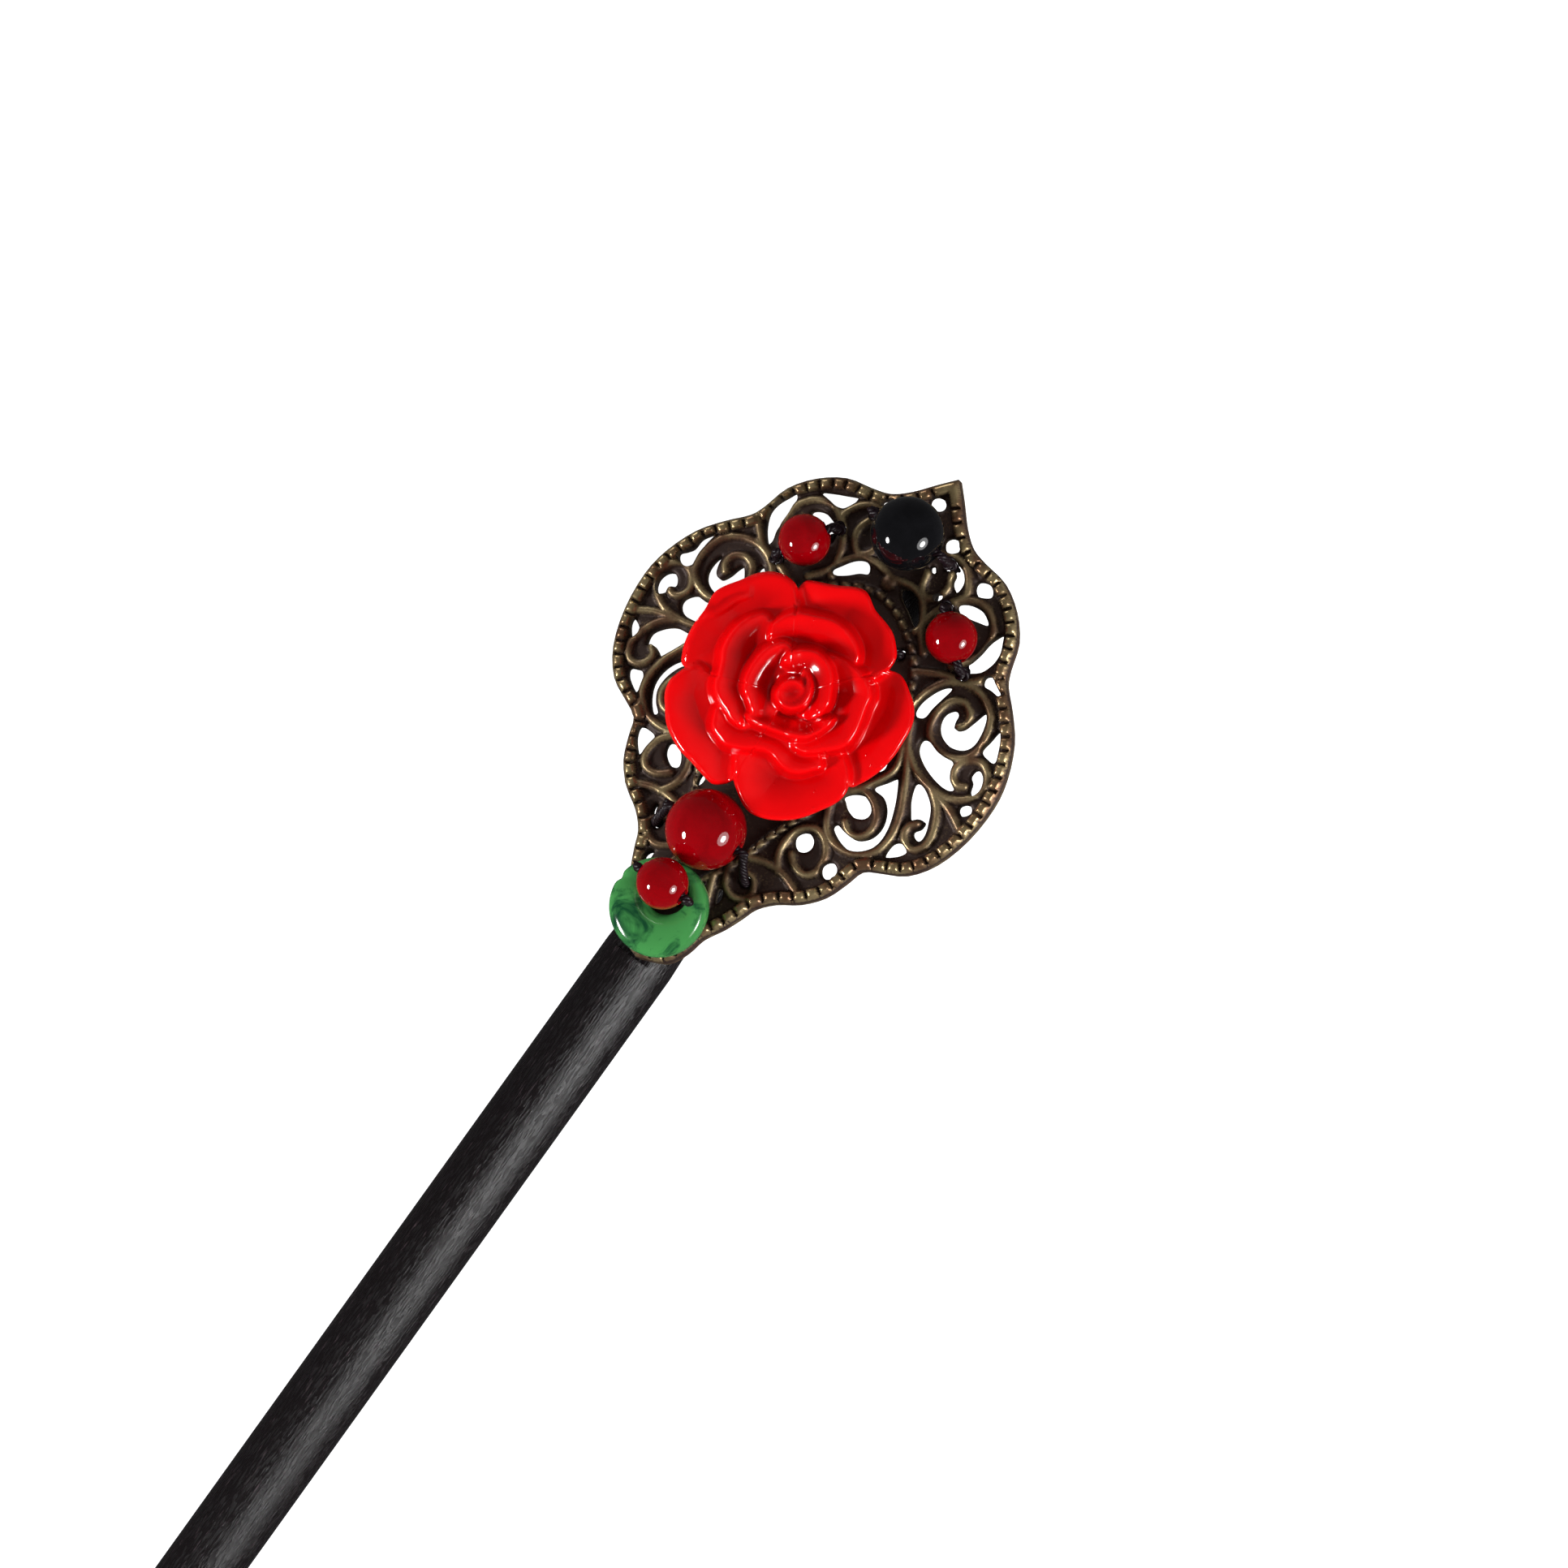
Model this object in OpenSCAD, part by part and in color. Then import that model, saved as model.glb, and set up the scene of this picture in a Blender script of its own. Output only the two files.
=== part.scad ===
// Hair stick with a pierced ornamental plate, a moulded rose, drilled beads and a stone ring.
// Millimetres. X runs along the stick towards the plate's tip, Z is up, and the stick lies
// on the floor with one side of the plate touching it.

/* [Stick] */
// Diameter of the round stick
stick_d = 6.3; // [5.6:0.1:7.5]
// Length of the stick from its point to its rounded head
stick_len = 172; // [130:1:220]
// Length of the tapered end
taper_len = 65; // [30:1:80]
// Diameter at the blunt point
point_d = 3; // [2:0.1:4.5]
// Length of the stick that lies behind the plate
stick_reach = 39.5; // [37:0.5:42]
// Depth of the flat that seats the plate
seat_depth = 0.5; // [0.4:0.05:0.8]
// How much slimmer the stick is behind the plate, all round
neck_step = 0.2; // [0.2:0.05:0.35]

/* [Plate] */
// Length from the base to the tip
plate_len = 47.5; // [44:0.5:54]
// Width across the two large lobes
plate_w = 35.4; // [32:0.5:40]
// Thickness of the pierced web
web_t = 1.3; // [1:0.1:2]
// Height of the scrolls above the web
scroll_rise = 0.45; // [0.2:0.05:0.8]
// Height of the rim above the web
rim_rise = 0.7; // [0.4:0.05:1]
// Width of the rim
rim_w = 1; // [0.9:0.05:1.4]
// Width of the oval hole under the tip
tip_hole_w = 1.5; // [1:0.1:1.8]
// Width of the scrolls on the bars
scroll_w = 0.6; // [0.4:0.05:0.8]
// Distance between the rim's small pads
pad_pitch = 1.2; // [1.05:0.05:1.6]
// Gap between the rim's small pads
pad_gap = 0.3; // [0.15:0.05:0.4]
// Turn of the plate on the stick, in degrees
plate_turn = 1.6; // [0:0.1:3]
// Distance of the plate's base from the stick's middle line
plate_shift = 0.7; // [0:0.1:1.2]

/* [Rose] */
// Diameter over the outer petals
rose_d = 20; // [18:0.5:22]
// Height of the rose
rose_h = 7.6; // [6.5:0.1:9]
// Thickness of a petal
petal_t = 1.1; // [0.8:0.1:1.5]

/* [Beads] */
// Diameter of the black bead
black_d = 6.1; // [5.4:0.1:6.4]
// Diameter of the large red bead
large_d = 6.7; // [6:0.1:7]
// Diameter of the three small red beads
small_d = 4.3; // [3.8:0.1:4.6]
// Diameter of the beads' bores
bore_d = 1.1; // [1:0.05:1.4]

/* [Ring] */
// Outer diameter of the stone ring
ring_d = 8.3; // [8:0.1:9]
// Diameter of the ring's hole
ring_hole_d = 3.6; // [3.4:0.1:3.8]
// Thickness of the ring
ring_t = 2.6; // [2.2:0.1:3]
// Distance of the hole from the ring's middle
hole_shift = 1.4; // [1.2:0.1:1.5]

/* [Thread] */
// Diameter of the braided thread
thread_d = 0.7; // [0.5:0.05:0.75]
// Clearance round the thread where it passes through a piece
thread_gap = 0.15; // [0.1:0.01:0.2]

/* [Hidden] */
$fn = 48;
// Clearance between pieces that lie on each other
lay_gap = 0.1;

stick_r = stick_d / 2;
neck_r = stick_r - neck_step;
// Where the seat and the neck start, measured from the plate's base
seat_start = -2 * lay_gap;
neck_start = -lay_gap;
half_w = plate_w / 2;
// Height of the plate's back above the stick's middle line
back_h = stick_r - seat_depth + lay_gap;
scroll_top = web_t + scroll_rise;
rim_top = web_t + rim_rise;

// The right half of the plate's outline from tip to base.
// Columns: share of the half-width, share of the length
OUTLINE = [
    [0, 1], [0.07, 0.972], [0.15, 0.938], [0.23, 0.914], [0.32, 0.904], [0.45, 0.894],
    [0.57, 0.864], [0.66, 0.822], [0.70, 0.775], [0.735, 0.748], [0.82, 0.715], [0.91, 0.672],
    [0.975, 0.615], [1, 0.56], [0.985, 0.49], [0.93, 0.425], [0.84, 0.380], [0.73, 0.358],
    [0.655, 0.342], [0.625, 0.31], [0.58, 0.27], [0.50, 0.236], [0.40, 0.211], [0.335, 0.185],
    [0.305, 0.158], [0.265, 0.125], [0.21, 0.09], [0.185, 0.055], [0.13, 0.02], [0, 0]];

// The scrolls of the right half, each a smooth line through a few points.
// Columns as above
SCROLLS = [
    // pointed frame round the middle
    [[0, 0.757], [0.10, 0.749], [0.20, 0.728], [0.30, 0.697], [0.37, 0.655], [0.44, 0.60],
        [0.50, 0.553], [0.52, 0.52], [0.485, 0.488], [0.41, 0.447], [0.33, 0.40], [0.265, 0.35],
        [0.205, 0.30], [0.16, 0.248], [0.10, 0.203], [0.04, 0.168], [0, 0.155]],
    // small scroll beside the top bead
    [[0.09, 0.868], [0.17, 0.882], [0.25, 0.881], [0.31, 0.863], [0.34, 0.838], [0.30, 0.815]],
    [[0.125, 0.835], [0.145, 0.808], [0.19, 0.797], [0.235, 0.812], [0.247, 0.835],
        [0.225, 0.858]],
    // scroll round the side bead
    [[0.235, 0.738], [0.26, 0.785], [0.31, 0.818], [0.40, 0.841], [0.49, 0.834], [0.55, 0.808],
        [0.557, 0.775], [0.525, 0.747], [0.47, 0.722]],
    // arch over the eye-shaped gap
    [[0, 0.792], [0.09, 0.80], [0.17, 0.793], [0.22, 0.772], [0.26, 0.742], [0.32, 0.715]],
    // link from the upper notch
    [[0.68, 0.752], [0.63, 0.733], [0.57, 0.713], [0.46, 0.703], [0.35, 0.683]],
    // great scroll of the side lobe
    [[0.43, 0.61], [0.43, 0.65], [0.465, 0.683], [0.52, 0.703], [0.60, 0.713], [0.69, 0.707],
        [0.765, 0.685], [0.798, 0.645], [0.785, 0.614], [0.74, 0.597], [0.67, 0.589],
        [0.60, 0.594], [0.55, 0.613], [0.537, 0.642], [0.56, 0.672], [0.615, 0.683],
        [0.67, 0.673], [0.683, 0.655], [0.66, 0.642]],
    // second scroll of the side lobe
    [[0.46, 0.605], [0.50, 0.572], [0.55, 0.553], [0.62, 0.537], [0.71, 0.529], [0.80, 0.530],
        [0.875, 0.545], [0.92, 0.572], [0.905, 0.599], [0.85, 0.613], [0.79, 0.605],
        [0.757, 0.584], [0.77, 0.566], [0.805, 0.558], [0.84, 0.563]],
    // hook below it, and its short branch to the rim
    [[0.72, 0.527], [0.79, 0.505], [0.835, 0.472], [0.845, 0.445], [0.815, 0.425],
        [0.765, 0.423], [0.73, 0.437], [0.727, 0.453], [0.752, 0.464]],
    [[0.74, 0.525], [0.84, 0.515], [0.94, 0.495]],
    // long stem that closes the lobe
    [[0.50, 0.572], [0.57, 0.530], [0.62, 0.495], [0.66, 0.463], [0.682, 0.43], [0.68, 0.40],
        [0.65, 0.378], [0.59, 0.361], [0.52, 0.355], [0.45, 0.359], [0.395, 0.378],
        [0.355, 0.41]],
    // curl inside the stem
    [[0.385, 0.447], [0.45, 0.46], [0.52, 0.454], [0.575, 0.435], [0.59, 0.41], [0.56, 0.39],
        [0.51, 0.385], [0.465, 0.397]],
    // spur from the lower notch
    [[0.65, 0.378], [0.64, 0.352]],
    // eye of the lower lobe
    [[0.33, 0.262], [0.288, 0.288], [0.282, 0.318], [0.31, 0.345], [0.37, 0.359], [0.435, 0.351],
        [0.48, 0.328], [0.485, 0.30], [0.45, 0.283], [0.39, 0.284], [0.34, 0.298]],
    // bar below it
    [[0.16, 0.25], [0.26, 0.262], [0.36, 0.262], [0.48, 0.246]],
    // lowest eye and its foot
    [[0.20, 0.229], [0.26, 0.224], [0.293, 0.205], [0.27, 0.188], [0.215, 0.182],
        [0.16, 0.193], [0.13, 0.215]],
    [[0.085, 0.195], [0.105, 0.175], [0.135, 0.145], [0.15, 0.11]]];

// The gaps cut through the web on the right side, each a smooth closed line through a few
// points. Columns as above
GAPS_RIGHT = [
    // round and comma-shaped gaps beside the top bead
    [[0.105, 0.897], [0.125, 0.909], [0.165, 0.910], [0.19, 0.898], [0.172, 0.885],
        [0.13, 0.884]],
    [[0.158, 0.868], [0.19, 0.874], [0.235, 0.874], [0.272, 0.867], [0.296, 0.852],
        [0.292, 0.834], [0.262, 0.838], [0.243, 0.846], [0.236, 0.858], [0.212, 0.864],
        [0.193, 0.855], [0.175, 0.859]],
    [[0.116, 0.847], [0.135, 0.851], [0.156, 0.841], [0.13, 0.84]],
    [[0.206, 0.808], [0.23, 0.817], [0.253, 0.813], [0.24, 0.803], [0.219, 0.80]],
    // above and round the side bead
    [[0.345, 0.87], [0.38, 0.877], [0.42, 0.874], [0.442, 0.862], [0.422, 0.854],
        [0.382, 0.849], [0.35, 0.857]],
    [[0.325, 0.818], [0.36, 0.828], [0.41, 0.832], [0.46, 0.829], [0.502, 0.817],
        [0.46, 0.812], [0.40, 0.808], [0.35, 0.808]],
    [[0.583, 0.818], [0.607, 0.804], [0.625, 0.786], [0.624, 0.765], [0.602, 0.744],
        [0.565, 0.732], [0.522, 0.722], [0.508, 0.733], [0.528, 0.748], [0.543, 0.77],
        [0.553, 0.795]],
    [[0.625, 0.739], [0.65, 0.747], [0.68, 0.742], [0.735, 0.73], [0.725, 0.724],
        [0.69, 0.726], [0.64, 0.726]],
    // eye over the pointed frame
    [[0.058, 0.786], [0.10, 0.793], [0.15, 0.787], [0.195, 0.768], [0.228, 0.747],
        [0.20, 0.745], [0.14, 0.76], [0.085, 0.772]],
    // in the great scroll of the side lobe
    [[0.53, 0.69], [0.50, 0.689], [0.465, 0.672], [0.438, 0.645], [0.437, 0.624],
        [0.46, 0.617], [0.497, 0.623], [0.505, 0.645], [0.52, 0.67]],
    [[0.718, 0.688], [0.745, 0.68], [0.764, 0.655], [0.765, 0.63], [0.735, 0.613],
        [0.675, 0.606], [0.61, 0.612], [0.572, 0.627], [0.563, 0.647], [0.59, 0.662],
        [0.625, 0.66], [0.632, 0.645], [0.648, 0.636], [0.678, 0.645], [0.697, 0.665]],
    [[0.823, 0.676], [0.852, 0.665], [0.877, 0.645], [0.893, 0.625], [0.85, 0.624],
        [0.805, 0.63], [0.812, 0.652]],
    // in the second scroll, and between the two
    [[0.832, 0.596], [0.855, 0.60], [0.888, 0.592], [0.91, 0.574], [0.897, 0.557],
        [0.868, 0.56], [0.853, 0.575], [0.83, 0.583]],
    [[0.55, 0.592], [0.59, 0.593], [0.65, 0.586], [0.725, 0.587], [0.742, 0.572],
        [0.765, 0.558], [0.803, 0.548], [0.775, 0.541], [0.70, 0.543], [0.62, 0.553],
        [0.562, 0.567], [0.542, 0.582]],
    [[0.868, 0.53], [0.888, 0.539], [0.918, 0.54], [0.933, 0.53], [0.908, 0.518],
        [0.878, 0.521]],
    // hook below it
    [[0.632, 0.52], [0.67, 0.523], [0.715, 0.515], [0.76, 0.50], [0.79, 0.478],
        [0.81, 0.456], [0.805, 0.441], [0.77, 0.441], [0.752, 0.449], [0.772, 0.46],
        [0.772, 0.473], [0.742, 0.472], [0.712, 0.463], [0.685, 0.474], [0.65, 0.495]],
    // between the stem and the curl inside it
    [[0.55, 0.51], [0.585, 0.492], [0.622, 0.462], [0.648, 0.43], [0.65, 0.40],
        [0.62, 0.376], [0.56, 0.361], [0.49, 0.363], [0.425, 0.376], [0.435, 0.386],
        [0.49, 0.382], [0.55, 0.382], [0.60, 0.399], [0.615, 0.425], [0.59, 0.452],
        [0.54, 0.469], [0.478, 0.473], [0.515, 0.494]],
    [[0.385, 0.432], [0.415, 0.445], [0.465, 0.453], [0.515, 0.447], [0.54, 0.434],
        [0.53, 0.42], [0.485, 0.412], [0.435, 0.416], [0.40, 0.426]],
    [[0.70, 0.407], [0.72, 0.419], [0.755, 0.42], [0.784, 0.413], [0.76, 0.398],
        [0.705, 0.385]],
    // small gap beside the rose
    [[0.44, 0.525], [0.464, 0.527], [0.478, 0.514], [0.466, 0.503], [0.44, 0.503]],
    // lower lobe
    [[0.302, 0.328], [0.32, 0.341], [0.352, 0.346], [0.387, 0.341], [0.402, 0.328],
        [0.387, 0.315], [0.352, 0.31], [0.32, 0.315]],
    [[0.485, 0.311], [0.50, 0.323], [0.53, 0.327], [0.56, 0.32], [0.562, 0.304],
        [0.535, 0.296], [0.503, 0.299]],
    // beside the foot
    [[0.135, 0.178], [0.165, 0.18], [0.18, 0.165], [0.168, 0.152], [0.148, 0.163]]];
// The gaps on the left side, which differ a little from those on the right
GAPS_LEFT = [
    [[0.16, 0.903], [0.205, 0.909], [0.247, 0.896], [0.24, 0.888], [0.20, 0.884],
        [0.165, 0.888]],
    [[0.355, 0.877], [0.42, 0.868], [0.475, 0.859], [0.522, 0.849], [0.47, 0.846],
        [0.41, 0.843], [0.375, 0.85], [0.355, 0.863]],
    [[0.335, 0.795], [0.36, 0.812], [0.405, 0.82], [0.45, 0.823], [0.49, 0.818],
        [0.505, 0.809], [0.46, 0.80], [0.41, 0.795], [0.37, 0.782], [0.34, 0.782]],
    [[0.595, 0.818], [0.618, 0.824], [0.64, 0.81], [0.665, 0.79], [0.67, 0.768],
        [0.64, 0.742], [0.592, 0.722], [0.578, 0.732], [0.59, 0.752], [0.585, 0.785],
        [0.59, 0.803]],
    [[0.108, 0.776], [0.125, 0.789], [0.165, 0.792], [0.21, 0.782], [0.25, 0.762],
        [0.272, 0.747], [0.24, 0.742], [0.19, 0.753], [0.145, 0.768]],
    // in the great scroll of the side lobe
    [[0.47, 0.64], [0.50, 0.668], [0.545, 0.685], [0.56, 0.675], [0.53, 0.65],
        [0.51, 0.625], [0.48, 0.622]],
    [[0.575, 0.635], [0.60, 0.656], [0.628, 0.667], [0.645, 0.658], [0.66, 0.64],
        [0.685, 0.626], [0.715, 0.63], [0.73, 0.645], [0.738, 0.662], [0.757, 0.648],
        [0.758, 0.625], [0.73, 0.608], [0.67, 0.601], [0.60, 0.61]],
    [[0.815, 0.694], [0.845, 0.681], [0.872, 0.665], [0.878, 0.645], [0.90, 0.633],
        [0.923, 0.623], [0.90, 0.612], [0.85, 0.611], [0.833, 0.622], [0.838, 0.645],
        [0.832, 0.67]],
    // in the second scroll, and between the two
    [[0.84, 0.573], [0.858, 0.586], [0.89, 0.59], [0.92, 0.582], [0.933, 0.566],
        [0.92, 0.55], [0.89, 0.544], [0.868, 0.553], [0.862, 0.565]],
    [[0.56, 0.582], [0.63, 0.587], [0.69, 0.579], [0.74, 0.579], [0.777, 0.563],
        [0.773, 0.548], [0.735, 0.539], [0.66, 0.541], [0.60, 0.55], [0.562, 0.565]],
    // hook below it, and the leaf beside it
    [[0.63, 0.519], [0.68, 0.516], [0.735, 0.513], [0.785, 0.499], [0.817, 0.48],
        [0.805, 0.46], [0.775, 0.465], [0.745, 0.461], [0.715, 0.456], [0.685, 0.472],
        [0.655, 0.495]],
    [[0.865, 0.47], [0.89, 0.481], [0.93, 0.485], [0.922, 0.47], [0.882, 0.454]],
    // between the stem and the curl inside it
    [[0.57, 0.50], [0.61, 0.478], [0.65, 0.458], [0.672, 0.435], [0.672, 0.41],
        [0.645, 0.386], [0.60, 0.367], [0.57, 0.371], [0.61, 0.386], [0.637, 0.407],
        [0.632, 0.435], [0.60, 0.462], [0.555, 0.475], [0.54, 0.49]],
    [[0.42, 0.432], [0.45, 0.446], [0.50, 0.451], [0.545, 0.443], [0.56, 0.43],
        [0.535, 0.417], [0.48, 0.413], [0.44, 0.418]],
    [[0.725, 0.407], [0.75, 0.417], [0.785, 0.414], [0.81, 0.408], [0.785, 0.393],
        [0.714, 0.38]],
    // lower lobe
    [[0.343, 0.318], [0.365, 0.334], [0.405, 0.343], [0.448, 0.34], [0.44, 0.322],
        [0.395, 0.309], [0.355, 0.31]],
    [[0.52, 0.334], [0.56, 0.338], [0.61, 0.335], [0.598, 0.316], [0.56, 0.298],
        [0.534, 0.293], [0.527, 0.312]],
    [[0.205, 0.322], [0.235, 0.326], [0.233, 0.312], [0.216, 0.304]],
    [[0.322, 0.244], [0.337, 0.234], [0.328, 0.223], [0.308, 0.222], [0.318, 0.232]],
    [[0.212, 0.168], [0.235, 0.163], [0.243, 0.153], [0.232, 0.147], [0.213, 0.15]]];
// Oval hole under the tip. Columns: across share, along share, length as a share of its width
TIP_HOLE = [-0.021, 0.944, 0.78];
// How much further out the scrolls lie on the left side, and from where on
LEFT_OUT = 0.02;
LEFT_FROM_SHARE = 0.3;
// Share of the rim's height that lies under its pads
UNDER_PADS = 0.64;

// The rose's rings of petals from the outside in, and its closed bud. Columns: reach as a
// share of the rose's radius, height of the rim and of the hollow inside it as shares of its
// height, then in petal thicknesses the rim's thickness and how far the hollow lies in from
// the next ring's reach
ROSE_RINGS = [
    [1, 0.52, 0.30, 1, 1.1], [0.69, 0.80, 0.52, 1, 1.1], [0.43, 0.96, 0.74, 1, 0.66],
    [0.17, 1, 0.93, 0.6, -0.36]];
// The petals. Columns: ring, direction from the across axis, half of the spread in degrees
PETALS = [
    [0, 82, 41], [0, 158, 42], [0, 10, 40], [0, 234, 38], [0, 302, 46],
    [1, 100, 48], [1, 12, 54], [1, 195, 52], [1, 282, 52],
    [2, 70, 72], [2, 200, 66], [2, 305, 68], [3, 0, 200]];
// A petal's rolled rim, from below it to the slope inside it. Columns: in from the reach
// and down from the top, in petal thicknesses
PETAL_RIM = [[1.1, 1.5], [0.35, 1.05], [0, 0.6], [0.1, 0.2], [0.45, 0], [0.85, 0.15]];
// Towards its sides a petal draws in, sinks, and stands higher on one side than on the other:
// each as a share of its reach or height
PETAL_SIDES = [0.12, 0.1, 0.06];
// Where the slope inside a rim turns into the hollow: shares of the way out and up to the rim
HOLLOW_TURN = [0.3, 0.12];
// Share of the radius of the rose's round foot, and height of its edge as a share
FOOT_SHARE = 0.68;
FOOT_EDGE_SHARE = 0.12;
// Directions in which the rose has a section
ROSE_TURNS = 64;

// A point of the plate's drawing from its two shares
function at(p) = [p[0] * half_w, p[1] * plate_len];
// The smooth line's point at the share s of the way from b to c
function spline(a, b, c, d, s) = 0.5 * (2 * b + (c - a) * s
    + (2 * a - 5 * b + 4 * c - d) * s * s + (3 * b - a - 3 * c + d) * s * s * s);
// The smooth line through all points of a row, with a few steps between each two
function drawn(row, steps) = let (p = [for (q = row) at(q)], n = len(p))
    [for (i = [0 : n - 2], k = [0 : steps - 1])
        spline(p[max(i - 1, 0)], p[i], p[i + 1], p[min(i + 2, n - 1)], k / steps), p[n - 1]];
// The same for a closed line
function closed_line(row, steps) = let (p = [for (q = row) at(q)], n = len(p))
    [for (i = [0 : n - 1], k = [0 : steps - 1])
        spline(p[(i + n - 1) % n], p[i], p[(i + 1) % n], p[(i + 2) % n], k / steps)];
function unit(v) = v / norm(v);

outline_half = drawn(OUTLINE, 3);
outline_all = concat(outline_half,
    [for (i = [len(outline_half) - 2 : -1 : 1]) [-outline_half[i][0], outline_half[i][1]]]);

// How far the plate's two sides reach from the stick's middle line, and the roll that
// brings the lower side down to the floor
low_reach = max([for (p = outline_all) p[1] * sin(plate_turn) - p[0] * cos(plate_turn)])
    - plate_shift;
high_reach = max([for (p = outline_all) p[0] * cos(plate_turn) - p[1] * sin(plate_turn)])
    + plate_shift;
roll = asin(stick_r / norm([low_reach, back_h])) + atan2(back_h, low_reach);
// Ends of the whole part along X, measured from the plate's base, and its middle along Y
head_end = max([for (p = outline_all) p[1] * cos(plate_turn) + p[0] * sin(plate_turn)]);
point_end = stick_reach - stick_len;
base_x = -(head_end + point_end) / 2;
mid_y = ((low_reach - high_reach) * cos(roll) + (2 * back_h + rim_top) * sin(roll)) / 2;

// Stick frame: X along the stick from the plate's base, Z square to the plate
module in_stick() translate([base_x, -mid_y, stick_r]) rotate([-roll, 0, 0]) children();
// Plate frame: X across, Y from the base to the tip, Z = 0 at the plate's back
module on_plate() in_stick() translate([0, -plate_shift, back_h])
    rotate([0, 0, plate_turn - 90]) children();
// Where the stick's middle line runs across the plate frame, at y along it
function stick_across(y) = y * tan(plate_turn) - plate_shift / cos(plate_turn);

// Places of the set pieces in the plate frame
black_at = at([-0.012, 0.868]);
large_at = at([-0.02, 0.2525]);
base_at = at([-0.017, 0.134]);
ring_at = at([-0.015, 0.095]);
rose_at = at([-0.04, 0.531]);
side_at = at([0.42, 0.762]);
// The side beads' bores, turned from the across direction
left_turn = 58;
right_turn = -42;
// Share of a bead's diameter that is left between its two flat ends
bead_flat = 0.93;
seat_z = scroll_top + lay_gap;
ring_z = rim_top + lay_gap;
// Height of the base bead's middle, which lies on the ring
base_z = ring_z + ring_t + thread_gap + small_d / 2;
rose_seat_r = rose_d / 2 * FOOT_SHARE;
// Half of the distance between the two strands of a thread, and its place along the plate,
// where it goes down through the plate beside the stick
large_pass = at([0.255, 0.215]);
base_pass = at([0.029, 0.126]);
lash_pass = at([0.22, 0.69]);

// Threads. A strand that goes down at x from the stick's middle lies in a groove round the
// stick, on a circle that stays under the flat seat where it comes down over the stick.
// The heights of this circle's top and bottom from the stick's middle line
function wrap_top(x) = (x < stick_r ? back_h : stick_r) - lay_gap - thread_d / 2;
wrap_bottom = stick_r - lay_gap - thread_d / 2;
function wrap_r(x) = (wrap_top(x) + wrap_bottom) / 2;
function wrap_drop(x) = (wrap_bottom - wrap_top(x)) / 2;
groove_w = thread_d + 3 * thread_gap;
hole_d = thread_d + 2 * thread_gap;
// Radius of a thread's sharpest bend, and the sides of its tube
bend_r = 0.65 * thread_d;
TUBE_SIDES = 8;
// How far outside its bead a strand goes down through the plate
strand_out = thread_d / 2 + thread_gap + bend_r / 2;
under_z = -lay_gap - thread_d / 2;
over_z = scroll_top + thread_gap;
// Chamfer of the ring's hole, and where a strand runs in its mouth: out, up
ring_mouth = 0.5;
ring_via = [ring_hole_d / 2 - thread_d / 2 - bend_r, ring_z + ring_t - ring_mouth];

// The last angle on the circle of radius r before a thread leaves it straight for p
function leaves(p, r) = atan2(p[1], p[0]) + acos(min(1, r / norm(p)));
// One strand in its own plane, from the bore's end at height z down to p. Columns: out, up
function strand(d, z, p) = let (
    r = d / 2 + thread_d / 2 + thread_gap, first = -asin(bend_r / r),
    last = leaves([p[0], p[1] - z], r), steps = last < first - 5 ? 2 : 0)
    concat([[r - bend_r, z], [r - 0.3 * bend_r, z - 0.3 * bend_r]],
        [for (k = [0 : steps]) let (a = first + (last - first) * k / 2)
            [r * cos(a), z + r * sin(a)]], [p]);
// The end of a strand behind the plate, for a thread that doesn't go round the stick
function turn_under(x) = [[x, 0], [x - 0.3 * bend_r, under_z + 0.3 * bend_r],
    [x - bend_r, under_z]];
// Half of the way round the stick's back, from the strand x out to the stick's lowest line
function wrap_half(x) = let (
    r = wrap_r(x), drop = wrap_drop(x), p = [x, back_h - lay_gap + drop],
    a = atan2(p[1], p[0]) - acos(r / norm(p)), steps = 8)
    concat([[x, -lay_gap]], [for (k = [0 : steps]) let (b = a + (-90 - a) * k / steps)
        [r * cos(b), r * sin(b) - drop - back_h]]);

// A closed tube round the points p, where side is the way square to the loop
module loop_tube(p, side) {
    n = len(p);
    points = [for (i = [0 : n - 1]) let (
        t = unit(p[(i + 1) % n] - p[(i + n - 1) % n]),
        out = unit(cross(t, side)), flat = cross(out, t))
        for (k = [0 : TUBE_SIDES - 1]) let (a = 360 * k / TUBE_SIDES)
            p[i] + thread_d / 2 * (cos(a) * out + sin(a) * flat)];
    faces = [for (i = [0 : n - 1], k = [0 : TUBE_SIDES - 1]) let (
        j = (i + 1) % n, l = (k + 1) % TUBE_SIDES)
        [i * TUBE_SIDES + k, i * TUBE_SIDES + l, j * TUBE_SIDES + l, j * TUBE_SIDES + k]];
    polyhedron(points = points, faces = faces);
}
// A thread through a bead of diameter d at c and height z, closed behind the plate
module closed_tie(c, z, d, turn) {
    x = d / 2 + strand_out;
    half = concat(strand(d, z, [x, over_z]), turn_under(x));
    n = len(half);
    line = concat([for (q = half) [q[0], 0, q[1]]],
        [for (i = [n - 1 : -1 : 0]) [-half[i][0], 0, half[i][1]]]);
    translate([c[0], c[1], 0]) rotate([0, 0, turn]) loop_tube(line, [0, 1, 0]);
}
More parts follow.
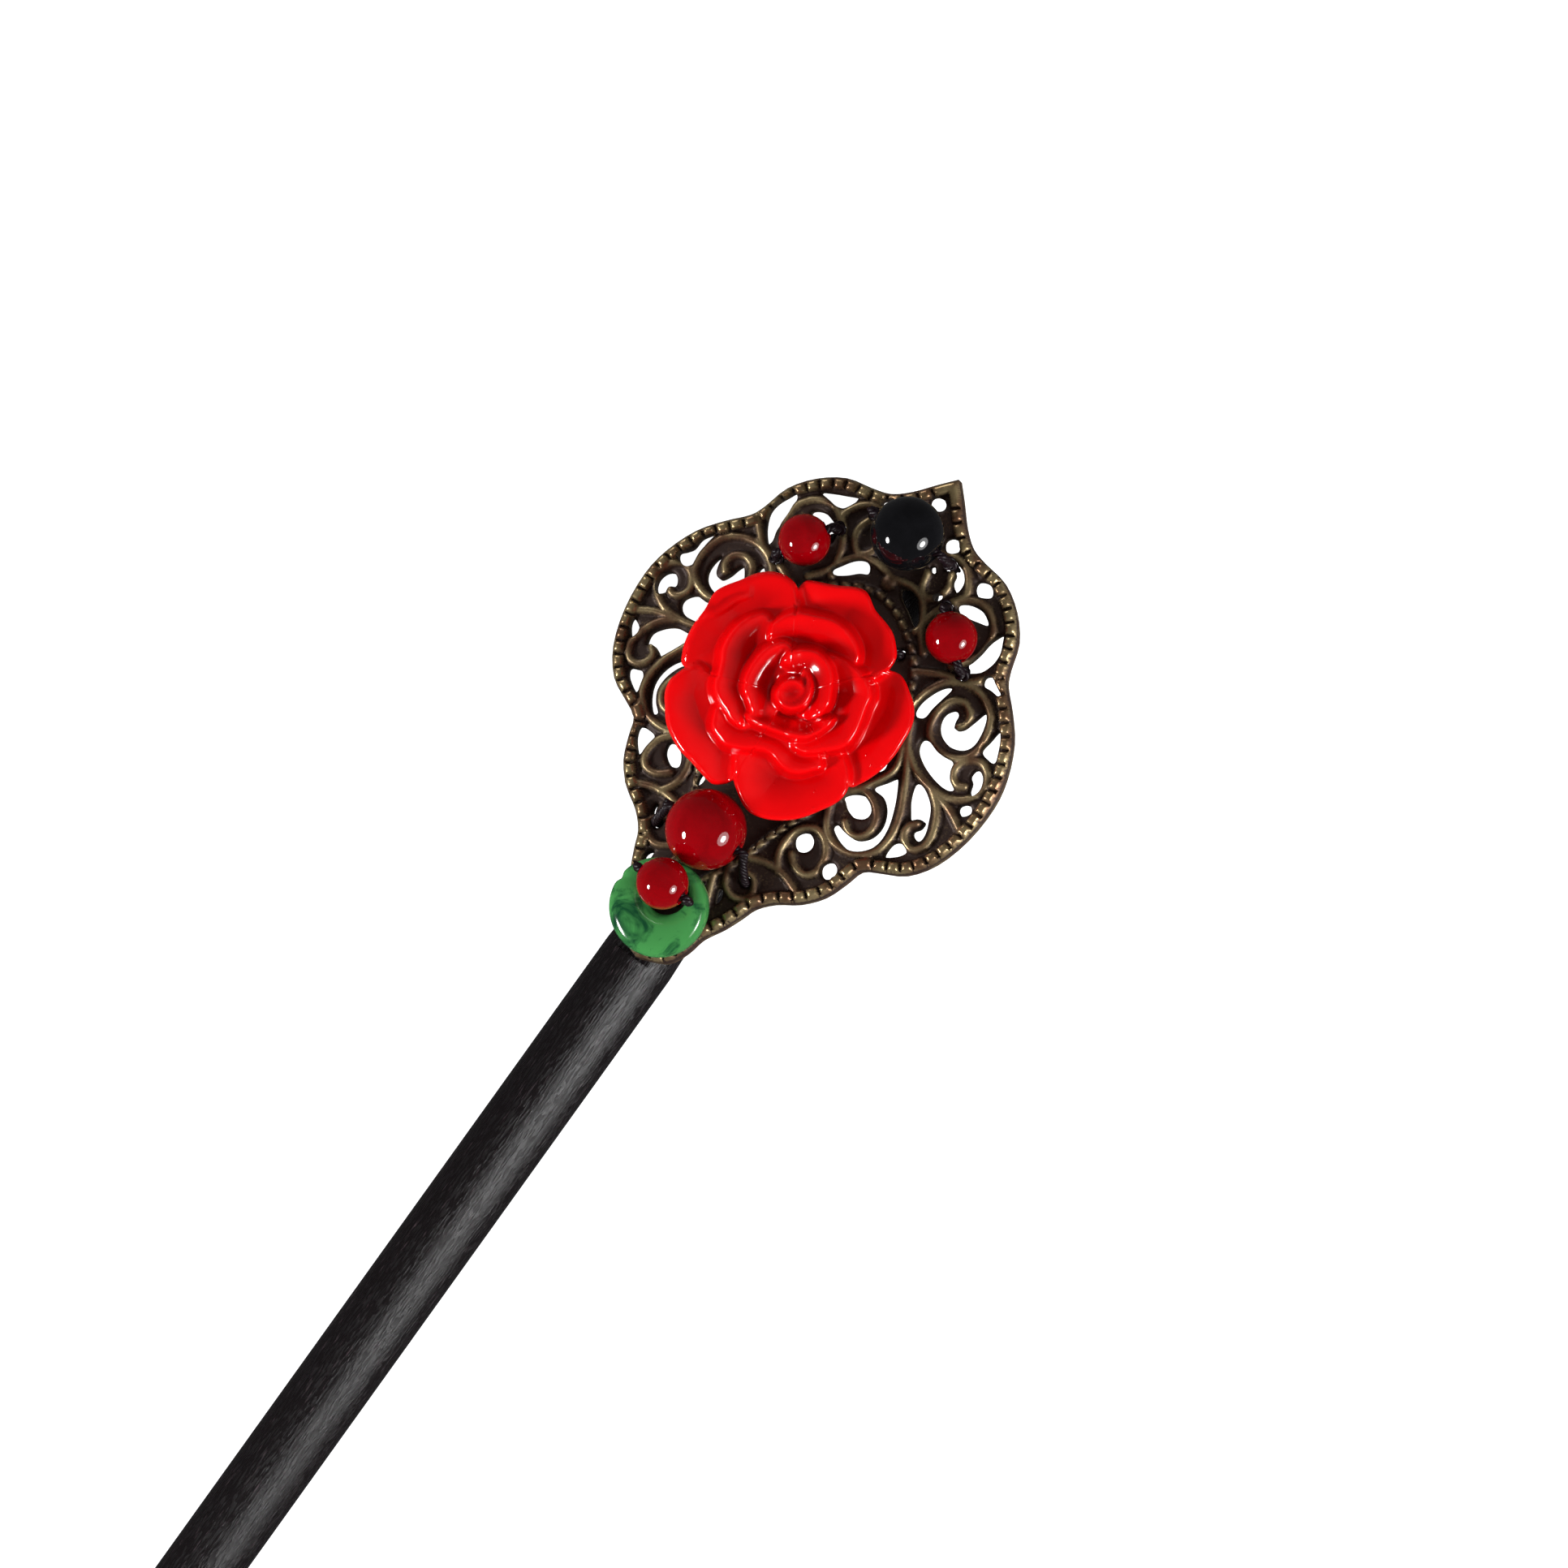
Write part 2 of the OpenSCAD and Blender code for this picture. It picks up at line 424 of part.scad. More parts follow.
// A thread through a bead at c, or over the web where d is 0, through the points via, and
// round the stick at pass
module wrapped_tie(c, z, d, pass, via = []) {
    right = wrapped_side(c, z, d, pass, via, 1);
    left = wrapped_side(c, z, d, pass, via, -1);
    loop_tube(concat(right, [for (i = [len(left) - 2 : -1 : 0]) left[i]]), [0, 1, 0]);
}
function wrapped_side(c, z, d, pass, via, s) = let (
    mid = stick_across(pass[1]), down = [pass[0] + s * (mid - c[0]), over_z],
    ends = concat(via, [down]),
    top = d > 0 ? strand(d, z, ends[0])
        : [[down[0] - bend_r, z], [down[0] - 0.3 * bend_r, z - 0.3 * bend_r],
            [down[0], z - bend_r]],
    front = concat(top, [for (i = [1 : 1 : len(ends) - 1]) ends[i]]))
    concat([for (q = front) [c[0] + s * q[0],
            c[1] + (pass[1] - c[1]) * min(1, max(0, z - q[1]) / abs(z - over_z)), q[1]]],
        [for (q = wrap_half(pass[0])) [mid + s * q[0], pass[1], q[1]]]);

// A band of width w along the line p
module band(p, w) {
    n = len(p);
    side = [for (i = [0 : n - 1]) let (t = unit(p[min(i + 1, n - 1)] - p[max(i - 1, 0)]))
        [-t[1], t[0]] * w / 2];
    polygon(concat([for (i = [0 : n - 1]) p[i] + side[i]],
        [for (i = [n - 1 : -1 : 0]) p[i] - side[i]]));
    for (q = [p[0], p[n - 1]]) translate(q) circle(d = w, $fn = 8);
}
module both_sides() {
    children();
    mirror([1, 0]) children();
}
function on_left(row) =
    [for (q = row) [-q[0] - LEFT_OUT * min(1, max(0, q[0]) / LEFT_FROM_SHARE), q[1]]];
module scroll_bands(w) for (row = SCROLLS) {
    band(drawn(row, 2), w);
    band(drawn(on_left(row), 2), w);
}
module outline_2d(inset) offset(delta = -inset) polygon(outline_all);
module gaps_2d() {
    for (row = GAPS_RIGHT) polygon(closed_line(row, 2));
    mirror([1, 0]) for (row = GAPS_LEFT) polygon(closed_line(row, 2));
    translate(at(TIP_HOLE)) scale([1, TIP_HOLE[2]]) circle(d = tip_hole_w, $fn = 16);
    thread_holes_2d();
}
module thread_holes_2d() {
    for (s = [-1, 1]) {
        translate(black_at + [s * (black_d / 2 + strand_out), 0]) circle(d = hole_d, $fn = 12);
        translate([side_at[0], side_at[1]]) rotate(right_turn)
            translate([s * (small_d / 2 + strand_out), 0]) circle(d = hole_d, $fn = 12);
        translate([-side_at[0], side_at[1]]) rotate(left_turn)
            translate([s * (small_d / 2 + strand_out), 0]) circle(d = hole_d, $fn = 12);
        for (pass = [large_pass, lash_pass])
            translate([stick_across(pass[1]) + s * pass[0], pass[1]])
                circle(d = hole_d, $fn = 12);
    }
    // one slot for both strands of the base thread
    translate([stick_across(base_pass[1]), base_pass[1]])
        square([2 * base_pass[0] + hole_d, hole_d], center = true);
}
module relief_2d() {
    intersection() {
        outline_2d(rim_w / 2);
        scroll_bands(scroll_w);
    }
    translate(rose_at) circle(r = rose_seat_r * 0.9, $fn = 40);
    both_sides() translate(at([0, 0.783])) circle(r = scroll_w, $fn = 16);
}
// Length along the line p up to each of its points
function run(p) = [for (i = 0, s = 0; i < len(p);
    s = s + (i + 1 < len(p) ? norm(p[i + 1] - p[i]) : 0), i = i + 1) s];
// Pads on the rim, evenly along one half of the outline, moved in from its edge
module pads_2d() {
    p = outline_half;
    s = run(p);
    total = s[len(s) - 1];
    count = floor(total / pad_pitch);
    size = [pad_pitch - pad_gap, rim_w * 0.62];
    both_sides() for (k = [0.9 : 1 : count - 1]) let (
        want = k * total / count,
        i = max([for (j = [0 : len(s) - 2]) if (s[j] <= want) j]),
        t = unit(p[i + 1] - p[i]), here = p[i] + t * (want - s[i]),
        inward = [t[1], -t[0]])
        translate(here + inward * rim_w * 0.56) rotate(atan2(t[1], t[0]))
            square(size, center = true);
}

module stick() color("#1e1a1c") in_stick() difference() {
    edge = neck_r / 2;
    rotate([0, 90, 0]) union() {
        translate([0, 0, point_end + taper_len])
            cylinder(r = stick_r, h = neck_start - point_end - taper_len);
        translate([0, 0, point_end + point_d / 2])
            cylinder(d1 = point_d, d2 = stick_d, h = taper_len - point_d / 2);
        translate([0, 0, point_end + point_d / 2]) sphere(d = point_d);
        // neck with a rounded head
        translate([0, 0, neck_start]) cylinder(r = neck_r, h = stick_reach - edge - neck_start);
        translate([0, 0, stick_reach - edge]) cylinder(r = neck_r - edge, h = edge);
        translate([0, 0, stick_reach - edge]) rotate_extrude()
            translate([neck_r - edge, 0]) circle(r = edge);
    }
    // flat seat for the plate
    translate([seat_start, -stick_d, back_h - lay_gap])
        cube([stick_reach + 1, 2 * stick_d, stick_d]);
    // grooves round the stick for the threads that hold the plate on it
    for (pass = [large_pass, base_pass, lash_pass])
        translate([pass[1], 0, -wrap_drop(pass[0])]) rotate([0, 90, 0]) rotate_extrude()
            translate([wrap_r(pass[0]) - thread_d / 2 - thread_gap, -groove_w / 2])
                square([stick_d, groove_w]);
    // groove for the top bead's thread, on a stick that reaches as far as that
    translate([black_at[1] - groove_w / 2, -stick_d, back_h - lay_gap - thread_d - thread_gap])
        cube([groove_w, 2 * stick_d, stick_d]);
}
module filigree_plate() color("#8f7a50") on_plate() difference() {
    union() {
        linear_extrude(web_t) polygon(outline_all);
        linear_extrude(web_t + rim_rise * UNDER_PADS) difference() {
            polygon(outline_all);
            outline_2d(rim_w);
        }
        translate([0, 0, web_t / 2]) linear_extrude(scroll_top - web_t / 2) relief_2d();
        translate([0, 0, web_t / 2]) linear_extrude(rim_top - web_t / 2) pads_2d();
    }
    translate([0, 0, -1]) linear_extrude(rim_top + 2) gaps_2d();
}

// The rim of a ring's petals in the direction a, where the petal that reaches furthest
// counts. Columns: out, up
function petal_rim(ring, a) = let (row = ROSE_RINGS[ring],
    near = [for (p = PETALS) if (p[0] == ring)
        let (v = ((a - p[1] + 540) % 360 - 180) / p[2])
        [1 - PETAL_SIDES[0] * pow(abs(v), 3), 1 - PETAL_SIDES[1] * v * v + PETAL_SIDES[2] * v]],
    far = max([for (q = near) q[0]]), best = [for (q = near) if (q[0] == far) q][0])
    [rose_d / 2 * row[0] * best[0], rose_h * row[1] * min(1, best[1])];
// The rose's section in the direction a, from the edge of its foot to its bud
function rose_section(a) = let (
    bud = len(ROSE_RINGS) - 1, rims = [for (k = [0 : bud]) petal_rim(k, a)])
    concat([[rose_seat_r, 0], [rose_seat_r, rose_h * FOOT_EDGE_SHARE]],
        [for (k = [0 : bud]) let (
            row = ROSE_RINGS[k], rim = rims[k], next = k < bud ? rims[k + 1][0] : 0,
            hollow = [next - petal_t * row[4], rose_h * row[2]], way = rim - hollow)
            each concat(
                [for (q = PETAL_RIM) rim - petal_t * row[3] * q],
                [hollow + [way[0] * HOLLOW_TURN[0], way[1] * HOLLOW_TURN[1]], hollow])]);
module rose() color("#e00d0d") on_plate() translate([rose_at[0], rose_at[1], seat_z]) {
    sections = [for (i = [0 : ROSE_TURNS - 1]) rose_section(360 * i / ROSE_TURNS)];
    n = len(sections[0]);
    last = ROSE_TURNS * n;
    polyhedron(
        points = concat([for (i = [0 : ROSE_TURNS - 1]) let (a = 360 * i / ROSE_TURNS)
            for (q = sections[i]) [q[0] * cos(a), q[0] * sin(a), q[1]]],
            [[0, 0, 0], [0, 0, rose_h * ROSE_RINGS[len(ROSE_RINGS) - 1][2]]]),
        faces = [for (i = [0 : ROSE_TURNS - 1]) let (j = (i + 1) % ROSE_TURNS) each concat(
            [for (k = [0 : n - 2]) [i * n + k, i * n + k + 1, j * n + k + 1, j * n + k]],
            [[last, i * n, j * n], [last + 1, j * n + n - 1, i * n + n - 1]])]);
}

// A drilled bead with slightly flat ends, its bore along X
module bead(d) rotate([0, 90, 0]) rotate_extrude() intersection() {
    circle(d = d, $fn = 80);
    translate([bore_d / 2, -d * bead_flat / 2]) square([d, d * bead_flat]);
}
module black_bead() color("#17161a") on_plate()
    translate([black_at[0], black_at[1], seat_z + black_d / 2]) bead(black_d);
module large_red_bead() color("#a0000e") on_plate()
    translate([large_at[0], large_at[1], web_t + lay_gap + large_d / 2]) bead(large_d);
side_z = web_t + lay_gap + small_d / 2;
module side_bead_left() color("#a0000e") on_plate()
    translate([-side_at[0], side_at[1], side_z]) rotate([0, 0, left_turn]) bead(small_d);
module side_bead_right() color("#a0000e") on_plate()
    translate([side_at[0], side_at[1], side_z]) rotate([0, 0, right_turn]) bead(small_d);
module base_bead() color("#a0000e") on_plate()
    translate([base_at[0], base_at[1], base_z]) bead(small_d);
// A flat ring with a full round edge, and a chamfered hole near one side
module green_ring() color("#1f8a2f") on_plate() translate([ring_at[0], ring_at[1], ring_z]) {
    round_r = ring_t / 2;
    hole_r = ring_hole_d / 2;
    wide = hole_r + ring_mouth + 1;
    difference() {
        translate([0, 0, round_r]) union() {
            cylinder(d = ring_d - ring_t, h = ring_t, center = true);
            rotate_extrude() translate([ring_d / 2 - round_r, 0]) circle(r = round_r);
        }
        translate([base_at[0] - ring_at[0], hole_shift, 0]) rotate_extrude() polygon([
            [0, -1], [wide, -1], [hole_r, ring_mouth], [hole_r, ring_t - ring_mouth],
            [wide, ring_t + 1], [0, ring_t + 1]]);
    }
}

module black_bead_tie() color("#3a2530") on_plate()
    closed_tie(black_at, seat_z + black_d / 2, black_d, 0);
module side_tie_left() color("#3a2530") on_plate()
    closed_tie([-side_at[0], side_at[1]], side_z, small_d, left_turn);
module side_tie_right() color("#3a2530") on_plate()
    closed_tie(side_at, side_z, small_d, right_turn);
module large_bead_tie() color("#3a2530") on_plate()
    wrapped_tie(large_at, web_t + lay_gap + large_d / 2, large_d, large_pass);
module base_tie() color("#3a2530") on_plate()
    wrapped_tie(base_at, base_z, small_d, base_pass, [ring_via]);
module rose_lashing() color("#3a2530") on_plate()
    wrapped_tie([stick_across(lash_pass[1]), lash_pass[1]], web_t + thread_d / 2 + lay_gap, 0,
        lash_pass);

stick();
filigree_plate();
rose();
black_bead();
large_red_bead();
side_bead_left();
side_bead_right();
base_bead();
green_ring();
black_bead_tie();
large_bead_tie();
side_tie_left();
side_tie_right();
base_tie();
rose_lashing();
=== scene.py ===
"""Hair stick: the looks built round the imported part, in metres and in the part's own frame."""
import math

import bmesh
import bpy
import numpy as np
from mathutils import Matrix


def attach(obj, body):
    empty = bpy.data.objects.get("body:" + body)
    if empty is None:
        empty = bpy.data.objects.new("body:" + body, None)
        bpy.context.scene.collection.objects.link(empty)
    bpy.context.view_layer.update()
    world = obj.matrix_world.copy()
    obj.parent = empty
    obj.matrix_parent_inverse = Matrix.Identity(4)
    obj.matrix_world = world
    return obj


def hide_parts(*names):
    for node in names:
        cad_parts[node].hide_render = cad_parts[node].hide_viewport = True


bl_info = {
    "name": "Hair Stick",
    "version": (1, 0, 0),
    "blender": (4, 5, 0),
    "location": "View3D > Sidebar > Hair Stick",
    "description": "Dresses a hair stick with a pierced plate, a rose, beads and a stone ring",
    "category": "Object",
}

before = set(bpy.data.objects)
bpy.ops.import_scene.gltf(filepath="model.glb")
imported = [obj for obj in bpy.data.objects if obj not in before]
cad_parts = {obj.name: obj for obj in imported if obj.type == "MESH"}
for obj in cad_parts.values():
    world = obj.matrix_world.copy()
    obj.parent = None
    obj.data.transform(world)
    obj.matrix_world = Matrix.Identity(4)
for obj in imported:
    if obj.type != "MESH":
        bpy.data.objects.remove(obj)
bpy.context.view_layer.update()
MM = 0.001
BODY = "root"

# Drawing of the plate
# The right half of the plate's outline from tip to base. Columns: share of the half-width,
# share of the length
OUTLINE = [
    [0, 1], [0.07, 0.972], [0.15, 0.938], [0.23, 0.914], [0.32, 0.904], [0.45, 0.894],
    [0.57, 0.864], [0.66, 0.822], [0.70, 0.775], [0.735, 0.748], [0.82, 0.715], [0.91, 0.672],
    [0.975, 0.615], [1, 0.56], [0.985, 0.49], [0.93, 0.425], [0.84, 0.380], [0.73, 0.358],
    [0.655, 0.342], [0.625, 0.31], [0.58, 0.27], [0.50, 0.236], [0.40, 0.211], [0.335, 0.185],
    [0.305, 0.158], [0.265, 0.125], [0.21, 0.09], [0.185, 0.055], [0.13, 0.02], [0, 0]]

# The scrolls of the right half, each a smooth line through a few points. Columns as above
FRAME_SCROLL = [
    [0, 0.757], [0.10, 0.749], [0.20, 0.728], [0.30, 0.697], [0.37, 0.655], [0.44, 0.60],
    [0.50, 0.553], [0.52, 0.52], [0.485, 0.488], [0.41, 0.447], [0.33, 0.40], [0.265, 0.35],
    [0.205, 0.30], [0.16, 0.248], [0.10, 0.203], [0.04, 0.168], [0, 0.155]]
SCROLLS = [
    # small scroll beside the top bead
    [[0.09, 0.868], [0.17, 0.882], [0.25, 0.881], [0.31, 0.863], [0.34, 0.838], [0.30, 0.815]],
    [[0.125, 0.835], [0.145, 0.808], [0.19, 0.797], [0.235, 0.812], [0.247, 0.835],
        [0.225, 0.858]],
    # scroll round the side bead
    [[0.235, 0.738], [0.26, 0.785], [0.31, 0.818], [0.40, 0.841], [0.49, 0.834], [0.55, 0.808],
        [0.557, 0.775], [0.525, 0.747], [0.47, 0.722]],
    # arch over the eye-shaped gap
    [[0, 0.792], [0.09, 0.80], [0.17, 0.793], [0.22, 0.772], [0.26, 0.742], [0.32, 0.715]],
    # link from the upper notch
    [[0.68, 0.752], [0.63, 0.733], [0.57, 0.713], [0.46, 0.703], [0.35, 0.683]],
    # great scroll of the side lobe
    [[0.43, 0.61], [0.43, 0.65], [0.465, 0.683], [0.52, 0.703], [0.60, 0.713], [0.69, 0.707],
        [0.765, 0.685], [0.798, 0.645], [0.785, 0.614], [0.74, 0.597], [0.67, 0.589],
        [0.60, 0.594], [0.55, 0.613], [0.537, 0.642], [0.56, 0.672], [0.615, 0.683],
        [0.67, 0.673], [0.683, 0.655], [0.66, 0.642]],
    # second scroll of the side lobe
    [[0.46, 0.605], [0.50, 0.572], [0.55, 0.553], [0.62, 0.537], [0.71, 0.529], [0.80, 0.530],
        [0.875, 0.545], [0.92, 0.572], [0.905, 0.599], [0.85, 0.613], [0.79, 0.605],
        [0.757, 0.584], [0.77, 0.566], [0.805, 0.558], [0.84, 0.563]],
    # hook below it, and its short branch to the rim
    [[0.72, 0.527], [0.79, 0.505], [0.835, 0.472], [0.845, 0.445], [0.815, 0.425],
        [0.765, 0.423], [0.73, 0.437], [0.727, 0.453], [0.752, 0.464]],
    [[0.74, 0.525], [0.84, 0.515], [0.94, 0.495]],
    # long stem that closes the lobe
    [[0.50, 0.572], [0.57, 0.530], [0.62, 0.495], [0.66, 0.463], [0.682, 0.43], [0.68, 0.40],
        [0.65, 0.378], [0.59, 0.361], [0.52, 0.355], [0.45, 0.359], [0.395, 0.378],
        [0.355, 0.41]],
    # curl inside the stem
    [[0.385, 0.447], [0.45, 0.46], [0.52, 0.454], [0.575, 0.435], [0.59, 0.41], [0.56, 0.39],
        [0.51, 0.385], [0.465, 0.397]],
    # spur from the lower notch
    [[0.65, 0.378], [0.64, 0.352]],
    # eye of the lower lobe
    [[0.33, 0.262], [0.288, 0.288], [0.282, 0.318], [0.31, 0.345], [0.37, 0.359], [0.435, 0.351],
        [0.48, 0.328], [0.485, 0.30], [0.45, 0.283], [0.39, 0.284], [0.34, 0.298]],
    # bar below it
    [[0.16, 0.25], [0.26, 0.262], [0.36, 0.262], [0.48, 0.246]],
    # lowest eye and its foot
    [[0.20, 0.229], [0.26, 0.224], [0.293, 0.205], [0.27, 0.188], [0.215, 0.182],
        [0.16, 0.193], [0.13, 0.215]],
    [[0.085, 0.195], [0.105, 0.175], [0.135, 0.145], [0.15, 0.11]]]

# The gaps cut through the web on the right side, each a smooth closed line through a few
# points. Columns as above
GAPS_RIGHT = [
    # round and comma-shaped gaps beside the top bead
    [[0.105, 0.897], [0.125, 0.909], [0.165, 0.910], [0.19, 0.898], [0.172, 0.885],
        [0.13, 0.884]],
    [[0.158, 0.868], [0.19, 0.874], [0.235, 0.874], [0.272, 0.867], [0.296, 0.852],
        [0.292, 0.834], [0.262, 0.838], [0.243, 0.846], [0.236, 0.858], [0.212, 0.864],
        [0.193, 0.855], [0.175, 0.859]],
    [[0.116, 0.847], [0.135, 0.851], [0.156, 0.841], [0.13, 0.84]],
    [[0.206, 0.808], [0.23, 0.817], [0.253, 0.813], [0.24, 0.803], [0.219, 0.80]],
    # above and round the side bead
    [[0.345, 0.87], [0.38, 0.877], [0.42, 0.874], [0.442, 0.862], [0.422, 0.854],
        [0.382, 0.849], [0.35, 0.857]],
    [[0.325, 0.818], [0.36, 0.828], [0.41, 0.832], [0.46, 0.829], [0.502, 0.817],
        [0.46, 0.812], [0.40, 0.808], [0.35, 0.808]],
    [[0.583, 0.818], [0.607, 0.804], [0.625, 0.786], [0.624, 0.765], [0.602, 0.744],
        [0.565, 0.732], [0.522, 0.722], [0.508, 0.733], [0.528, 0.748], [0.543, 0.77],
        [0.553, 0.795]],
    [[0.625, 0.739], [0.65, 0.747], [0.68, 0.742], [0.735, 0.73], [0.725, 0.724],
        [0.69, 0.726], [0.64, 0.726]],
    # eye over the pointed frame
    [[0.058, 0.786], [0.10, 0.793], [0.15, 0.787], [0.195, 0.768], [0.228, 0.747],
        [0.20, 0.745], [0.14, 0.76], [0.085, 0.772]],
    # in the great scroll of the side lobe
    [[0.53, 0.69], [0.50, 0.689], [0.465, 0.672], [0.438, 0.645], [0.437, 0.624],
        [0.46, 0.617], [0.497, 0.623], [0.505, 0.645], [0.52, 0.67]],
    [[0.718, 0.688], [0.745, 0.68], [0.764, 0.655], [0.765, 0.63], [0.735, 0.613],
        [0.675, 0.606], [0.61, 0.612], [0.572, 0.627], [0.563, 0.647], [0.59, 0.662],
        [0.625, 0.66], [0.632, 0.645], [0.648, 0.636], [0.678, 0.645], [0.697, 0.665]],
    [[0.823, 0.676], [0.852, 0.665], [0.877, 0.645], [0.893, 0.625], [0.85, 0.624],
        [0.805, 0.63], [0.812, 0.652]],
    # in the second scroll, and between the two
    [[0.832, 0.596], [0.855, 0.60], [0.888, 0.592], [0.91, 0.574], [0.897, 0.557],
        [0.868, 0.56], [0.853, 0.575], [0.83, 0.583]],
    [[0.55, 0.592], [0.59, 0.593], [0.65, 0.586], [0.725, 0.587], [0.742, 0.572],
        [0.765, 0.558], [0.803, 0.548], [0.775, 0.541], [0.70, 0.543], [0.62, 0.553],
        [0.562, 0.567], [0.542, 0.582]],
    [[0.868, 0.53], [0.888, 0.539], [0.918, 0.54], [0.933, 0.53], [0.908, 0.518],
        [0.878, 0.521]],
    # hook below it
    [[0.632, 0.52], [0.67, 0.523], [0.715, 0.515], [0.76, 0.50], [0.79, 0.478],
        [0.81, 0.456], [0.805, 0.441], [0.77, 0.441], [0.752, 0.449], [0.772, 0.46],
        [0.772, 0.473], [0.742, 0.472], [0.712, 0.463], [0.685, 0.474], [0.65, 0.495]],
    # between the stem and the curl inside it
    [[0.55, 0.51], [0.585, 0.492], [0.622, 0.462], [0.648, 0.43], [0.65, 0.40],
        [0.62, 0.376], [0.56, 0.361], [0.49, 0.363], [0.425, 0.376], [0.435, 0.386],
        [0.49, 0.382], [0.55, 0.382], [0.60, 0.399], [0.615, 0.425], [0.59, 0.452],
        [0.54, 0.469], [0.478, 0.473], [0.515, 0.494]],
    [[0.385, 0.432], [0.415, 0.445], [0.465, 0.453], [0.515, 0.447], [0.54, 0.434],
        [0.53, 0.42], [0.485, 0.412], [0.435, 0.416], [0.40, 0.426]],
    [[0.70, 0.407], [0.72, 0.419], [0.755, 0.42], [0.784, 0.413], [0.76, 0.398],
        [0.705, 0.385]],
    # small gap beside the rose
    [[0.44, 0.525], [0.464, 0.527], [0.478, 0.514], [0.466, 0.503], [0.44, 0.503]],
    # lower lobe
    [[0.302, 0.328], [0.32, 0.341], [0.352, 0.346], [0.387, 0.341], [0.402, 0.328],
        [0.387, 0.315], [0.352, 0.31], [0.32, 0.315]],
    [[0.485, 0.311], [0.50, 0.323], [0.53, 0.327], [0.56, 0.32], [0.562, 0.304],
        [0.535, 0.296], [0.503, 0.299]],
    # beside the foot
    [[0.135, 0.178], [0.165, 0.18], [0.18, 0.165], [0.168, 0.152], [0.148, 0.163]]]
# The gaps on the left side, which differ a little from those on the right
GAPS_LEFT = [
    [[0.16, 0.903], [0.205, 0.909], [0.247, 0.896], [0.24, 0.888], [0.20, 0.884],
        [0.165, 0.888]],
    [[0.355, 0.877], [0.42, 0.868], [0.475, 0.859], [0.522, 0.849], [0.47, 0.846],
        [0.41, 0.843], [0.375, 0.85], [0.355, 0.863]],
    [[0.335, 0.795], [0.36, 0.812], [0.405, 0.82], [0.45, 0.823], [0.49, 0.818],
        [0.505, 0.809], [0.46, 0.80], [0.41, 0.795], [0.37, 0.782], [0.34, 0.782]],
    [[0.595, 0.818], [0.618, 0.824], [0.64, 0.81], [0.665, 0.79], [0.67, 0.768],
        [0.64, 0.742], [0.592, 0.722], [0.578, 0.732], [0.59, 0.752], [0.585, 0.785],
        [0.59, 0.803]],
    [[0.108, 0.776], [0.125, 0.789], [0.165, 0.792], [0.21, 0.782], [0.25, 0.762],
        [0.272, 0.747], [0.24, 0.742], [0.19, 0.753], [0.145, 0.768]],
    # in the great scroll of the side lobe
    [[0.47, 0.64], [0.50, 0.668], [0.545, 0.685], [0.56, 0.675], [0.53, 0.65],
        [0.51, 0.625], [0.48, 0.622]],
    [[0.575, 0.635], [0.60, 0.656], [0.628, 0.667], [0.645, 0.658], [0.66, 0.64],
        [0.685, 0.626], [0.715, 0.63], [0.73, 0.645], [0.738, 0.662], [0.757, 0.648],
        [0.758, 0.625], [0.73, 0.608], [0.67, 0.601], [0.60, 0.61]],
    [[0.815, 0.694], [0.845, 0.681], [0.872, 0.665], [0.878, 0.645], [0.90, 0.633],
        [0.923, 0.623], [0.90, 0.612], [0.85, 0.611], [0.833, 0.622], [0.838, 0.645],
        [0.832, 0.67]],
    # in the second scroll, and between the two
    [[0.84, 0.573], [0.858, 0.586], [0.89, 0.59], [0.92, 0.582], [0.933, 0.566],
        [0.92, 0.55], [0.89, 0.544], [0.868, 0.553], [0.862, 0.565]],
    [[0.56, 0.582], [0.63, 0.587], [0.69, 0.579], [0.74, 0.579], [0.777, 0.563],
        [0.773, 0.548], [0.735, 0.539], [0.66, 0.541], [0.60, 0.55], [0.562, 0.565]],
    # hook below it, and the leaf beside it
    [[0.63, 0.519], [0.68, 0.516], [0.735, 0.513], [0.785, 0.499], [0.817, 0.48],
        [0.805, 0.46], [0.775, 0.465], [0.745, 0.461], [0.715, 0.456], [0.685, 0.472],
        [0.655, 0.495]],
    [[0.865, 0.47], [0.89, 0.481], [0.93, 0.485], [0.922, 0.47], [0.882, 0.454]],
    # between the stem and the curl inside it
    [[0.57, 0.50], [0.61, 0.478], [0.65, 0.458], [0.672, 0.435], [0.672, 0.41],
        [0.645, 0.386], [0.60, 0.367], [0.57, 0.371], [0.61, 0.386], [0.637, 0.407],
        [0.632, 0.435], [0.60, 0.462], [0.555, 0.475], [0.54, 0.49]],
    [[0.42, 0.432], [0.45, 0.446], [0.50, 0.451], [0.545, 0.443], [0.56, 0.43],
        [0.535, 0.417], [0.48, 0.413], [0.44, 0.418]],
    [[0.725, 0.407], [0.75, 0.417], [0.785, 0.414], [0.81, 0.408], [0.785, 0.393],
        [0.714, 0.38]],
    # lower lobe
    [[0.343, 0.318], [0.365, 0.334], [0.405, 0.343], [0.448, 0.34], [0.44, 0.322],
        [0.395, 0.309], [0.355, 0.31]],
    [[0.52, 0.334], [0.56, 0.338], [0.61, 0.335], [0.598, 0.316], [0.56, 0.298],
        [0.534, 0.293], [0.527, 0.312]],
    [[0.205, 0.322], [0.235, 0.326], [0.233, 0.312], [0.216, 0.304]],
    [[0.322, 0.244], [0.337, 0.234], [0.328, 0.223], [0.308, 0.222], [0.318, 0.232]],
    [[0.212, 0.168], [0.235, 0.163], [0.243, 0.153], [0.232, 0.147], [0.213, 0.15]]]
# Oval hole under the tip. Columns: across share, along share, length as a share of its width
TIP_HOLE = (-0.021, 0.944, 0.78)
# How much further out the scrolls lie on the left side, and from where on
LEFT_OUT, LEFT_FROM = 0.02, 0.3
